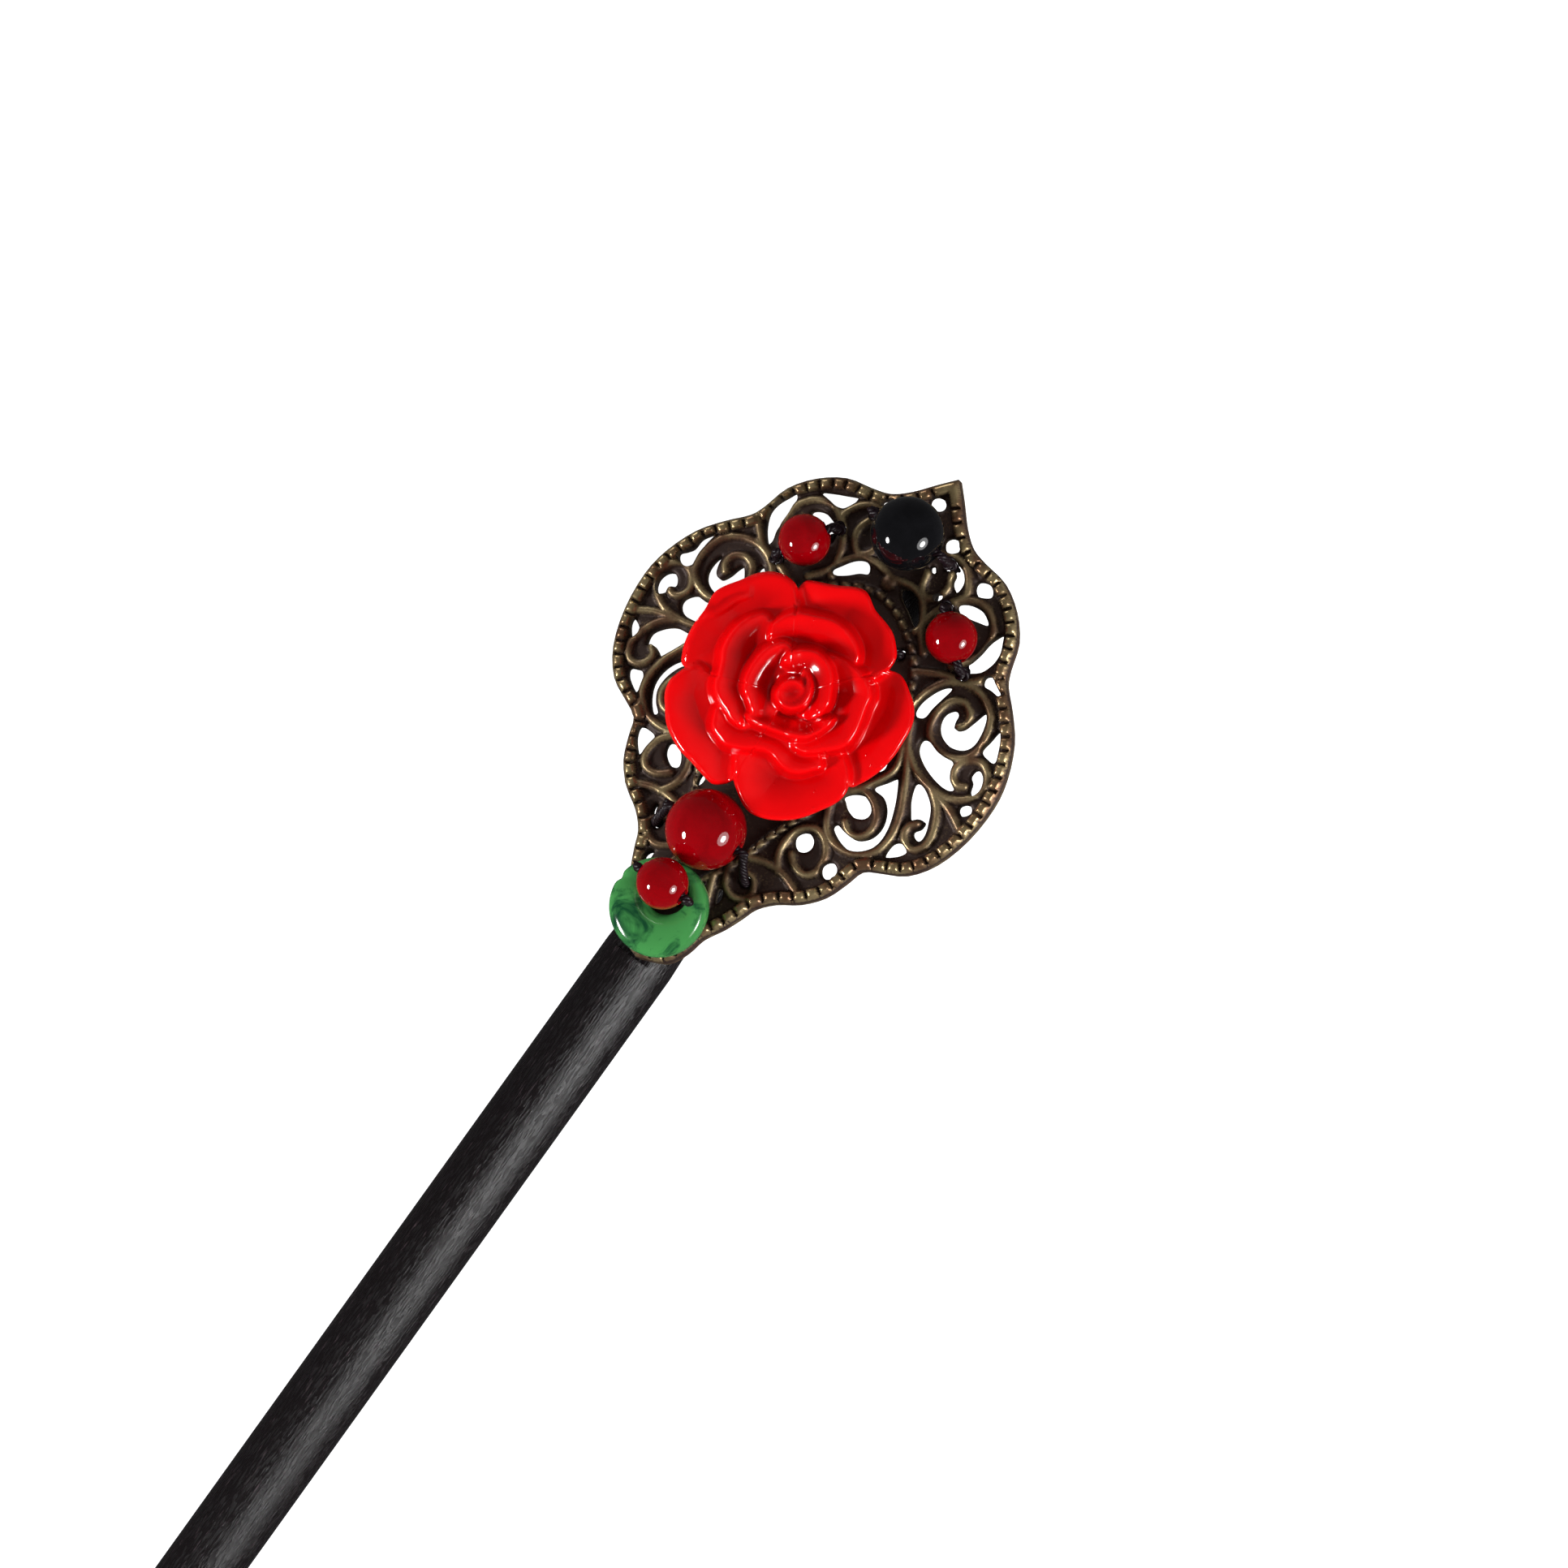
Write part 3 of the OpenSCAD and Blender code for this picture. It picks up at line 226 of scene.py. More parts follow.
# Thread that closes behind the plate, and the bead that it holds
TIED = {"black_bead_tie": "black_bead", "side_tie_right": "side_bead_right",
        "side_tie_left": "side_bead_left"}

# The rose's petals from the outside in, each a closed line round the petal as the rose is
# looked at from the front; the parts near the heart lie under other petals. Columns of a
# petal: width and depth of its rolled rim, how far its face dips, its reach, and its points,
# whose columns are across, along and height of the rim, all in mm from the rose's middle.
# The face dips by its full depth at the given reach from the rim
PETALS = [
    # five outer petals: right, lower left, upper, upper left, lower right
    (0.35, 0.35, 0.8, 4.2, [(5.7, 6.2, 3.5), (6.5, 6.5, 3.6), (7.25, 6.3, 3.8), (8, 5.8, 3.9),
        (8.8, 5.2, 3.9), (9.5, 4.3, 3.9), (9.85, 3.2, 4), (9.95, 1.8, 4), (9.97, 0.7, 3.9),
        (9.75, -0.7, 3.8), (9.4, -1.8, 3.7), (8.9, -2.8, 3.5), (8.4, -3.4, 3.4),
        (7, -3.4, 3.3), (4.8, -2.3, 3.4), (4.8, 2.7, 3.4), (5.2, 5, 3.4)]),
    (0.45, 0.45, 0.8, 4.4, [(-7.5, -1.8, 3.9), (-8.25, -2.8, 4.1), (-8.6, -3.7, 4.1),
        (-8.75, -4.5, 4.1), (-8.5, -5.5, 4), (-7.8, -6.5, 4), (-7, -7.5, 3.9),
        (-5.8, -8.3, 3.9), (-4.7, -8.75, 3.9), (-3.5, -9, 3.8), (-2.3, -9.3, 3.7),
        (-1.1, -9.5, 3.6), (-0.3, -9, 3.5), (0.1, -8.4, 3.4), (0.6, -6.5, 3.4),
        (0, -4.5, 3.4), (-3.5, -3, 3.6), (-5.5, -2.2, 3.7)]),
    (0.35, 0.35, 0.9, 4, [(-4.2, 7.6, 3.5), (-4.1, 8.5, 3.6), (-3.6, 8.9, 3.7), (-2.6, 9.3, 3.8),
        (-1.6, 9.75, 3.9), (-0.6, 10.3, 3.9), (0.3, 10.6, 3.9), (1, 10.4, 4), (2, 9.75, 4),
        (3.2, 9.4, 4), (4.2, 9, 4.1), (5, 8.3, 4.2), (5.6, 7.5, 4.2), (5.7, 6.5, 4.2),
        (5.5, 5.5, 4.2), (5, 4.4, 4.1), (4, 3.5, 3.6), (0.7, 3.5, 3.4), (-2.7, 4.3, 3.4),
        (-3.9, 6.3, 3.4)]),
    (0.6, 0.5, 0.8, 4.4, [(-3, 6.4, 4.1), (-3.7, 7.2, 4.2), (-4.4, 7.8, 4.2), (-5, 8, 4.1),
        (-5.9, 8, 4), (-6.9, 7.6, 4), (-7.8, 6.8, 4), (-8.5, 5.7, 4), (-9.35, 4.5, 4),
        (-9.75, 3.5, 4), (-9.6, 2, 4), (-9.7, 0.3, 3.9), (-9.5, -1, 3.8), (-9.2, -1.9, 3.6),
        (-8.5, -2.8, 3.4), (-6.5, -2.5, 3.4), (-4, -0.5, 3.6), (-3, 2.5, 3.8)]),
    (0.35, 0.35, 0.8, 4.2, [(6.2, -1.4, 4.1), (7, -1.75, 4.2), (7.7, -2.35, 4.3),
        (8.2, -3.2, 4.3), (8.4, -4.2, 4.3), (8.15, -5.2, 4.2), (7.5, -6.3, 4.1), (6.7, -7.5, 4.1),
        (5.7, -8.5, 4.1), (4.3, -9.35, 4.1), (3, -9.7, 4.1), (2, -9.5, 4.1), (1, -8.9, 4.2),
        (0.2, -8.25, 4.2), (-0.5, -7.3, 4.2), (-0.9, -6.6, 4.2), (-0.9, -6, 4.1),
        (-0.5, -5, 3.8), (1, -3, 3.6), (4, -1.5, 3.7)]),
    # the turned-over lip of the upper left petal
    (0.45, 0.3, 0.2, 1.2, [(-7, 5, 4), (-7.6, 4.1, 4.15), (-8, 3.1, 4.2), (-8.6, 2, 4.2),
        (-9.4, 1.4, 4.1), (-9.75, 0.6, 3.8), (-10, 3.4, 3.8), (-9.5, 4.7, 3.9),
        (-8.6, 5.9, 3.9), (-7.9, 6.3, 3.8)]),
    # four middle petals: lower, left, upper, right
    (0.4, 0.35, 0.9, 2.4, [(-4.3, -4, 5.2), (-4.2, -4.8, 5.3), (-3.7, -5.7, 5.4),
        (-2.8, -6.1, 5.4), (-2, -6.3, 5.4), (-1.2, -6.1, 5.4), (-0.5, -5.75, 5.5),
        (0.3, -5.25, 5.6), (1.2, -4.9, 5.6), (2, -5, 5.6), (2.8, -5.25, 5.5),
        (3.7, -5.2, 5.5), (4.5, -4.75, 5.4), (5.2, -4, 5.3), (5.6, -3.2, 5.1), (4, -2.3, 4.6),
        (0, -2.3, 4.4), (-3.5, -3.2, 4.6)]),
    (0.42, 0.38, 1, 2.4, [(-4.3, 4.3, 5), (-5.2, 4.6, 5.1), (-5.8, 4.2, 5.3), (-6.4, 3.3, 5.5),
        (-6.75, 2.2, 5.7), (-6.8, 1, 5.8), (-6.6, 0, 5.8), (-6.2, -0.7, 5.8),
        (-5.8, -1.7, 5.9), (-5.6, -2.5, 5.9), (-5.1, -3.2, 5.9), (-4.3, -3.7, 5.9),
        (-3.5, -4, 5.9), (-2.5, -4.4, 5.8), (-1, -4, 5), (-1, -0.7, 4.4),
        (-2.3, 3, 4.5)]),
    (0.4, 0.35, 0.9, 2.6, [(-4.3, 3.7, 5.5), (-4.25, 4.5, 5.6), (-3.9, 5.3, 5.7), (-3.3, 6, 5.8),
        (-2.5, 6.4, 5.8), (-1.7, 6.7, 5.8), (-1, 7, 5.8), (-0.2, 7.2, 5.8), (0.7, 7.2, 5.8),
        (1.5, 7, 5.7), (2.3, 6.6, 5.6), (3, 6, 5.5), (3.3, 5.2, 5.3), (3.2, 4, 4.8),
        (1.5, 2.7, 4.5), (-1, 2.3, 4.5), (-3.5, 2.3, 4.8)]),
    (0.4, 0.35, 1, 2.6, [(0.5, 4.4, 5.6), (1.7, 4.9, 6), (2.8, 4.97, 6.1), (4, 4.87, 6.1),
        (5, 4.4, 6.1), (5.7, 3.7, 6), (5.9, 2.7, 6), (6.2, 1.5, 6), (6.4, 0.3, 6),
        (6.3, -0.7, 6), (5.8, -1.5, 5.9), (5, -2.25, 5.9), (4.3, -2.9, 5.8), (3.4, -3.4, 5.6),
        (1.5, -3, 4.9), (0.5, -0.5, 4.5),
        (0, 2.5, 4.5)]),
    # three inner petals: left, lower right, upper right
    (0.35, 0.3, 0.8, 1.6, [(-2.5, 3.5, 6.5), (-3.25, 2.9, 6.7), (-3.75, 2, 6.8), (-3.9, 1, 6.8),
        (-3.9, 0.2, 6.8), (-3.75, -0.8, 6.8), (-3.3, -1.7, 6.7), (-2.5, -2.3, 6.5),
        (-1.7, -2.9, 6.3), (-0.8, -3.4, 6), (0, -3, 5.4), (0, 0, 5),
        (-1, 3, 5.4)]),
    (0.38, 0.35, 0.8, 1.6, [(4.1, 0.5, 6.7), (4.2, -0.3, 6.8), (3.8, -1.3, 6.8),
        (3.2, -2.2, 6.8), (2.2, -2.75, 6.8), (1, -3.1, 6.7), (-0.2, -3.4, 6.7), (-1.2, -3.5, 6.5),
        (-2, -3.2, 5.9), (-1, -2, 5.3), (0.7, -1.7, 5.2), (2.8, -0.7, 5.5)]),
    (0.3, 0.3, 0.6, 1.7, [(-2, 2.6, 6.6), (-1.7, 3.2, 6.9), (-1, 3.8, 7.1), (-0.2, 4.2, 7.1),
        (0.7, 4.2, 7.1), (1.5, 3.9, 7.1), (2.25, 3.25, 7.1), (2.8, 2.3, 7.1), (3.2, 1.3, 7.1),
        (3.2, 0.3, 7), (2.9, -0.4, 6.5), (2, -1, 5.4), (0, -0.7, 5.2),
        (-1.7, 1, 5.5)]),
    # the closed bud: its outer turn, and the inner one that curls into it
    (0.25, 0.3, 0.35, 0.7, [(-1.1, -0.1, 6.9), (-0.8, -0.75, 7), (-0.2, -1.05, 7.1),
        (0.5, -1.1, 7.1), (1.15, -0.75, 7.2), (1.6, -0.1, 7.3), (1.65, 0.7, 7.3),
        (1.4, 1.5, 7.3), (0.9, 2.1, 7.1), (0.3, 2.5, 6.8), (-0.1, 2.4, 6.5), (0, 1.6, 6.7),
        (-0.6, 0.9, 6.7)]),
    (0.2, 0.2, 0.3, 0.9, [(-0.95, -0.1, 7.1), (-0.95, 0.5, 7.3), (-0.7, 1, 7.4),
        (-0.3, 1.35, 7.4), (0.1, 1.45, 7.3), (0.7, 1.3, 7.05), (1.1, 0.8, 6.95),
        (1.15, 0.1, 6.9), (0.7, -0.5, 6.9), (0, -0.7, 6.9), (-0.6, -0.5, 7)])]
# Width, length and height of the rose that they are drawn for, in mm
DRAWN = (20, 20, 7.6)


# Sizes and finishes
def hex_colour(text):
    """Linear colour of an sRGB hex value: c/12.92 below 0.04045, else ((c+0.055)/1.055)^2.4."""
    values = [int(text[i:i + 2], 16) / 255 for i in (1, 3, 5)]
    return [c / 12.92 if c <= 0.04045 else ((c + 0.055) / 1.055) ** 2.4 for c in values]


def length(name, size, description):
    """A length property whose default is given in millimetres."""
    return bpy.props.FloatProperty(name=name, description=description, default=size * MM,
                                   min=0, precision=5, unit="LENGTH")


def colour(name, value, description):
    """A colour property whose default is an sRGB hex value."""
    return bpy.props.FloatVectorProperty(name=name, description=description, size=3, min=0,
                                         max=1, subtype="COLOR", default=hex_colour(value))


class StickSettings(bpy.types.PropertyGroup):
    diameter: length("Diameter", 6.3, "Diameter of the round stick")
    total: length("Length", 172, "Length from the point to the rounded head")
    taper: length("Taper", 65, "Length of the tapered end")
    point: length("Point", 3, "Diameter at the blunt point")
    reach: length("Reach", 39.5, "Length that lies behind the plate")
    seat: length("Seat depth", 0.5, "Depth of the flat that seats the plate")
    neck: length("Neck step", 0.2, "How much slimmer the stick is behind the plate")
    stain: colour("Stain", "#0D0A0B", "Black stain of the wood")
    glint: colour("Grain", "#4A3F43", "Paler lines of the grain")


class PlateSettings(bpy.types.PropertyGroup):
    length: length("Length", 47.5, "Length from the base to the tip")
    width: length("Width", 35.4, "Width across the two large lobes")
    web: length("Web", 1.3, "Thickness of the pierced web")
    scroll: length("Scroll height", 0.45, "Height of the scrolls above the web")
    rim: length("Rim height", 0.7, "Height of the rim above the web")
    rim_width: length("Rim width", 1, "Width of the rim")
    tip_hole: length("Tip hole", 1.5, "Width of the oval hole under the tip")
    scroll_width: length("Scroll width", 0.6, "Width of the scrolls")
    pitch: length("Pad pitch", 1.2, "Distance between the rim's small pads")
    gap: length("Pad gap", 0.3, "Gap between the rim's small pads")
    shift: length("Shift", 0.7, "Distance of the plate's base from the stick's middle line")
    turn: bpy.props.FloatProperty(name="Turn", description="Turn of the plate on the stick",
                                  default=math.radians(1.6), subtype="ANGLE")
    cell: length("Cell", 0.14, "Width of the cells that the plate is worked out on")
    bright: colour("Worn bronze", "#A8946C", "Bronze where wear has polished it")
    copper: colour("Copper", "#7A5B42", "Redder metal where the plating has worn through")
    patina: colour("Patina", "#2C1D17", "Dark patina in the recesses")


class RoseSettings(bpy.types.PropertyGroup):
    diameter: length("Diameter", 20, "Diameter over the outer petals")
    height: length("Height", 7.6, "Height from the seat to the bud")
    resin: colour("Resin", "#D60206", "Red of the moulded resin")
    # Painted shade: the resin's red goes over to this darker red towards each petal's valley,
    # where shade falls.
    painted_valley_shade: colour("Deep resin", "#A20003", "Red of the valleys, where more resin is seen through")


class BeadSettings(bpy.types.PropertyGroup):
    black: length("Black bead", 6.1, "Diameter of the black bead")
    large: length("Large bead", 6.7, "Diameter of the large red bead")
    small: length("Small beads", 4.3, "Diameter of the three small red beads")
    bore: length("Bore", 1.1, "Diameter of the bores")
    ring: length("Ring", 8.3, "Outer diameter of the stone ring")
    ring_hole: length("Ring hole", 3.6, "Diameter of the ring's hole")
    ring_thick: length("Ring thickness", 2.6, "Thickness of the ring")
    hole_shift: length("Hole shift", 1.4, "Distance of the hole from the ring's middle")
    red: colour("Agate", "#870007", "Red of the dyed agate")
    black_stone: colour("Black stone", "#08080A", "Colour of the black bead")
    green: colour("Green stone", "#3C8042", "Green of the stone ring")
    vein: colour("Vein", "#0E3F24", "Darker veins in the green stone")


class ThreadSettings(bpy.types.PropertyGroup):
    diameter: length("Diameter", 0.7, "Diameter of the braided thread")
    clearance: length("Clearance", 0.15, "Clearance round the thread in a hole")
    # Painted light and shade: the outer side of each ply gets the light colour and the valleys
    # between the plies the dark one.
    dark: colour("Dark", "#050304", "Dark valleys of the braid")
    light: colour("Light", "#180C12", "Strands of the braid that catch the light")


class Sizes:
    """The sizes in millimetres, and where everything stands, worked out from the settings."""

    def __init__(self, scene):
        def lengths(group, *keys):
            return [getattr(group, key) * (1 / MM) for key in keys]
        stick, plate, rose, bead, thread = (getattr(scene, key) for key in SETTINGS)
        thick, self.stick_len, self.taper, point, self.reach, self.seat, neck = lengths(
            stick, "diameter", "total", "taper", "point", "reach", "seat", "neck")
        self.stick_r, self.point_r, self.neck_r = thick / 2, point / 2, thick / 2 - neck
        self.plate_len, wide, self.web, self.scroll, self.rim = lengths(
            plate, "length", "width", "web", "scroll", "rim")
        self.rim_w, self.tip_hole, self.scroll_w, self.pitch, self.pad_gap = lengths(
            plate, "rim_width", "tip_hole", "scroll_width", "pitch", "gap")
        self.shift, self.cell = lengths(plate, "shift", "cell")
        self.half_w, self.turn = wide / 2, plate.turn
        self.rose_d, self.rose_h = lengths(rose, "diameter", "height")
        self.black, self.large, self.small, self.bore = lengths(
            bead, "black", "large", "small", "bore")
        self.ring, self.ring_hole, self.ring_t, self.hole_shift = lengths(
            bead, "ring", "ring_hole", "ring_thick", "hole_shift")
        self.thread, self.clear = lengths(thread, "diameter", "clearance")
        # Clearance between pieces that lie on each other
        self.lay = 0.1
        self.back = self.stick_r - self.seat + self.lay
        # Where the flat seat and the slimmer neck start, and where the neck is slim
        self.seat_start, self.neck_start, self.neck_end = -2 * self.lay, -self.lay, 3.5
        self.scroll_top, self.rim_top = self.web + self.scroll, self.web + self.rim
        self.outline = self.whole_outline()
        self.set_frames()
        self.set_places()

    def at(self, shares):
        """Points of the plate's drawing: shares times the half-width and the length."""
        return np.asarray(shares, float) * (self.half_w, self.plate_len)

    def whole_outline(self):
        """The drawn right half from tip to base, and the same mirrored back up to the tip."""
        half = smooth_line(self.at(OUTLINE), 3)
        return np.vstack([half, half[-2:0:-1] * (-1, 1)])

    def set_frames(self):
        """The stick's frame rolls until one side of the plate touches the floor, and the
        plate's frame lies on it, turned by the plate's small turn."""
        x, y = self.outline[:, 0], self.outline[:, 1]
        sin, cos = math.sin(self.turn), math.cos(self.turn)
        low = (y * sin - x * cos).max() - self.shift
        high = (x * cos - y * sin).max() + self.shift
        self.roll = (math.asin(self.stick_r / math.hypot(low, self.back))
                     + math.atan2(self.back, low))
        head, point = (y * cos + x * sin).max(), self.reach - self.stick_len
        mid_y = ((low - high) * math.cos(self.roll)
                 + (2 * self.back + self.rim_top) * math.sin(self.roll)) / 2
        self.in_stick = (Matrix.Translation((-(head + point) / 2, -mid_y, self.stick_r))
                         @ Matrix.Rotation(-self.roll, 4, "X"))
        self.on_plate = (self.in_stick @ Matrix.Translation((0, -self.shift, self.back))
                         @ Matrix.Rotation(self.turn - math.pi / 2, 4, "Z"))

    def set_places(self):
        """Places of the set pieces in the plate's frame, in millimetres."""
        self.ring_at, self.rose_at = self.at((-0.015, 0.095)), self.at((-0.04, 0.531))
        self.seat_z, self.ring_z = self.scroll_top + self.lay, self.rim_top + self.lay
        self.seat_r = self.rose_d / 2 * 0.68
        side, web_z, black_r = self.at((0.42, 0.762)), self.web + self.lay, self.black / 2
        # Each bead's diameter, place, height of its middle, and turn in degrees
        self.beads = {
            "black_bead": (self.black, self.at((-0.012, 0.868)), self.seat_z + black_r, 0),
            "large_red_bead": (self.large, self.at((-0.02, 0.2525)), web_z + self.large / 2, 0),
            "base_bead": (self.small, self.at((-0.017, 0.134)),
                          self.ring_z + self.ring_t + self.clear + self.small / 2, 0),
            "side_bead_right": (self.small, side, web_z + self.small / 2, -42),
            "side_bead_left": (self.small, side * (-1, 1), web_z + self.small / 2, 58)}
        self.large_pass = self.at((0.255, 0.215))
        self.base_pass = self.at((0.029, 0.126))
        self.lash_pass = self.at((0.22, 0.69))
        self.hole = self.thread + 2 * self.clear
        # Width of a strand's bend, and how far from each side its corner is cut
        self.bend = 0.65 * self.thread
        self.corner = 0.3 * self.bend
        self.strand_out = self.thread / 2 + self.clear + self.bend / 2

    def strand_ends(self, name):
        """Where the two strands that leave a bead's bore go down through the plate."""
        size, place, _, turn = self.beads[name]
        out = (size / 2 + self.strand_out) * unit(math.radians(turn))
        return [place - out, place + out]

    def stick_across(self, y):
        """Where the stick's middle line runs across the plate's frame, at y along it."""
        return y * math.tan(self.turn) - self.shift / math.cos(self.turn)

    def wrap(self, x):
        """Radius of the circle on which a strand that goes down at x lies round the stick,
        and how far its middle lies below the stick's, to stay under the flat seat."""
        top = (self.back if x < self.stick_r else self.stick_r) - self.lay - self.thread / 2
        bottom = self.stick_r - self.lay - self.thread / 2
        return (top + bottom) / 2, (bottom - top) / 2


# Lines, fields and meshes
# Points that a field is worked out for at a time, to save memory
AT_A_TIME = 20000


def full_turn(count):
    """Angles that go evenly round a full turn, without the last one."""
    return np.linspace(0, 2 * np.pi, count + 1)[:-1]


def unit(turn):
    """Unit vectors in the directions of some angles."""
    return np.stack([np.cos(turn), np.sin(turn)], -1)


def smooth_line(points, steps, closed=False):
    """The Catmull-Rom line through all points: between b and c it is half of
    2b + (c-a)s + (2a-5b+4c-d)s^2 + (3b-a-3c+d)s^3, with a and d the points beyond."""
    points = np.asarray(points, float)
    if closed:
        a, b, c, d = (np.roll(points, k, 0) for k in (1, 0, -1, -2))
    else:
        wide = np.vstack([points[:1], points, points[-1:]])
        a, b, c, d = wide[:-3], wide[1:-2], wide[2:-1], wide[3:]
    s = (np.arange(steps) / steps)[None, :, None]
    a, b, c, d = (q[:, None, :] for q in (a, b, c, d))
    line = 0.5 * (2 * b + (c - a) * s + (2 * a - 5 * b + 4 * c - d) * s ** 2
                  + (3 * b - a - 3 * c + d) * s ** 3)
    line = line.reshape(-1, points.shape[1])
    return line if closed else np.vstack([line, points[-1:]])


def near_line(points, line, closed=False):
    """Distance of each point from the nearest place of a line, and how far along it lies."""
    start = line if closed else line[:-1]
    end = np.roll(line, -1, 0) if closed else line[1:]
    step = end - start
    size = np.hypot(step[:, 0], step[:, 1])
    run = np.concatenate([[0], np.cumsum(size)[:-1]])
    away, along = np.empty(len(points)), np.empty(len(points))
    for k in range(0, len(points), AT_A_TIME):
        part = slice(k, k + AT_A_TIME)
        gap = points[part, None, :] - start
        share = np.clip((gap * step).sum(2) / np.maximum(size ** 2, 1e-12), 0, 1)
        square = ((gap - share[..., None] * step) ** 2).sum(2)
        best = square.argmin(1)
        rows = np.arange(len(best))
        away[part] = np.sqrt(square[rows, best])
        along[part] = run[best] + share[rows, best] * size[best]
    return away, along


def inside(points, line):
    """Whether each point lies in a closed line: a ray from it crosses an odd number of
    the line's edges."""
    odd = np.zeros(len(points), bool)
    end = np.roll(line, -1, 0)
    rise = np.where(end[:, 1] == line[:, 1], 1, end[:, 1] - line[:, 1])
    for k in range(0, len(points), AT_A_TIME):
        part = slice(k, k + AT_A_TIME)
        x, y = points[part, 0:1], points[part, 1:2]
        spans = (line[:, 1] > y) != (end[:, 1] > y)
        cross = x < line[:, 0] + (y - line[:, 1]) * (end[:, 0] - line[:, 0]) / rise
        odd[part] = (spans & cross).sum(1) % 2 == 1
    return odd


def around(points, line, margin):
    """Indices of the points within a margin of a line's box."""
    low, high = line.min(0) - margin, line.max(0) + margin
    return np.flatnonzero(((points > low) & (points < high)).all(1))


def grid_faces(rows, columns, wrap_rows=False, wrap_columns=False):
    """Four-sided faces between neighbours of a grid of rows times columns."""
    i = np.arange(rows if wrap_rows else rows - 1)[:, None]
    j = np.arange(columns if wrap_columns else columns - 1)[None, :]
    up, right = (i + 1) % rows, (j + 1) % columns
    faces = np.stack([i * columns + j, up * columns + j, up * columns + right,
                      i * columns + right], -1)
    return faces.reshape(-1, 4)


def new_mesh(name, points, quads, triangles=None):
    """A mesh from whole arrays of points and of faces with four and three corners."""
    mesh = bpy.data.meshes.new(name)
    triangles = np.empty((0, 3), int) if triangles is None else triangles
    corners = np.concatenate([quads.ravel(), triangles.ravel()]).astype(np.int32)
    starts = np.concatenate([np.arange(len(quads)) * 4,
                             len(quads) * 4 + np.arange(len(triangles)) * 3])
    mesh.vertices.add(len(points))
    mesh.vertices.foreach_set("co", np.asarray(points, np.float32).ravel())
    mesh.loops.add(len(corners))
    mesh.loops.foreach_set("vertex_index", corners)
    mesh.polygons.add(len(starts))
    mesh.polygons.foreach_set("loop_start", starts.astype(np.int32))
    mesh.update(calc_edges=True)
    mesh.validate()
    return mesh


def to_frame(points, matrix):
    """Points in millimetres of a frame, in metres of the part's own frame."""
    m = np.array(matrix)
    return (np.asarray(points) @ m[:3, :3].T + m[:3, 3]) * MM


def add_piece(name, mesh, material, node, sharp=40):
    """Links a finished mesh as an object that stands for a CAD node. Its edges are shaded
    smooth up to an angle of sharp degrees."""
    mesh.materials.append(material)
    mesh.shade_smooth()
    mesh.set_sharp_from_angle(angle=math.radians(sharp))
    piece = bpy.data.objects.new(name, mesh)
    bpy.context.scene.collection.objects.link(piece)
    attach(piece, BODY)
    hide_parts(node)


def merge_poles(mesh):
    """Joins the points that lie on one another at the ends of a turned grid."""
    work = bmesh.new()
    work.from_mesh(mesh)
    bmesh.ops.remove_doubles(work, verts=work.verts, dist=1e-7)
    work.to_mesh(mesh)
    work.free()


def set_attribute(mesh, name, values):
    """Stores one number for each of a mesh's points."""
    mesh.attributes.new(name, "FLOAT", "POINT").data.foreach_set(
        "value", np.asarray(values, np.float32))


# Finishes
def set_inputs(tree, item, inputs):
    """Sets or links a node's inputs. A node given as a value stands for its first output."""
    for key, value in inputs.items():
        if isinstance(value, bpy.types.Node):
            value = value.outputs[0]
        if isinstance(value, bpy.types.NodeSocket):
            tree.links.new(value, item.inputs[key])
        else:
            item.inputs[key].default_value = value


def add(tree, kind, inputs=None, **settings):
    """Adds a node with its settings, and sets or links its inputs."""
    item = tree.nodes.new(kind)
    for key, value in settings.items():
        setattr(item, key, value)
    set_inputs(tree, item, inputs or {})
    return item


def new_material(name):
    """A material with an empty node tree and its shader joined to the output."""
    material = bpy.data.materials.new(name)
    material.use_nodes = True
    tree = material.node_tree
    tree.nodes.clear()
    shader = add(tree, "ShaderNodeBsdfPrincipled")
    add(tree, "ShaderNodeOutputMaterial", {"Surface": shader})
    return material, tree, shader


def rgba(value):
    """A colour with full opacity."""
    return (*value[:3], 1)


def stained_wood(settings):
    """Black-stained hardwood, sanded and waxed: fibres 0.17 mm wide and open pores 1 mm long
    run along the stick and break its satin gloss into short streaks."""
    material, tree, shader = new_material("stained_wood")
    place = add(tree, "ShaderNodeTexCoord").outputs["Object"]
    along = add(tree, "ShaderNodeMapping", {
        "Vector": place, "Scale": (1 / (1.8 * MM), 1 / (0.17 * MM), 1 / (0.17 * MM))})
    grain = add(tree, "ShaderNodeTexNoise", {
        "Vector": along, "Scale": 1, "Detail": 4, "Roughness": 0.7})
    dashes = add(tree, "ShaderNodeMapping", {
        "Vector": place, "Scale": (1 / (1.1 * MM), 1 / (0.16 * MM), 1 / (0.16 * MM))})
    pores = add(tree, "ShaderNodeTexNoise", {"Vector": dashes, "Scale": 1, "Detail": 1})
    pit = add(tree, "ShaderNodeMapRange", {"Value": pores, "From Min": 0.36, "From Max": 0.5})
    both = add(tree, "ShaderNodeMath", {0: pit, 1: 0.5, 2: grain}, operation="MULTIPLY_ADD")
    streak = add(tree, "ShaderNodeMapRange", {"Value": grain, "From Min": 0.6, "From Max": 0.8})
    tint = add(tree, "ShaderNodeMix", {
        0: streak, 6: rgba(settings.stain), 7: rgba(settings.glint)}, data_type="RGBA")
    rough = add(tree, "ShaderNodeMapRange", {
        "Value": both, "From Min": 0.5, "From Max": 1.1, "To Min": 0.42, "To Max": 0.2})
    bump = add(tree, "ShaderNodeBump", {"Height": both, "Strength": 0.5, "Distance": 0.09 * MM})
    set_inputs(tree, shader, {
        "Base Color": tint.outputs[2], "Roughness": rough, "Normal": bump,
        "Specular IOR Level": 0.22})
    return material


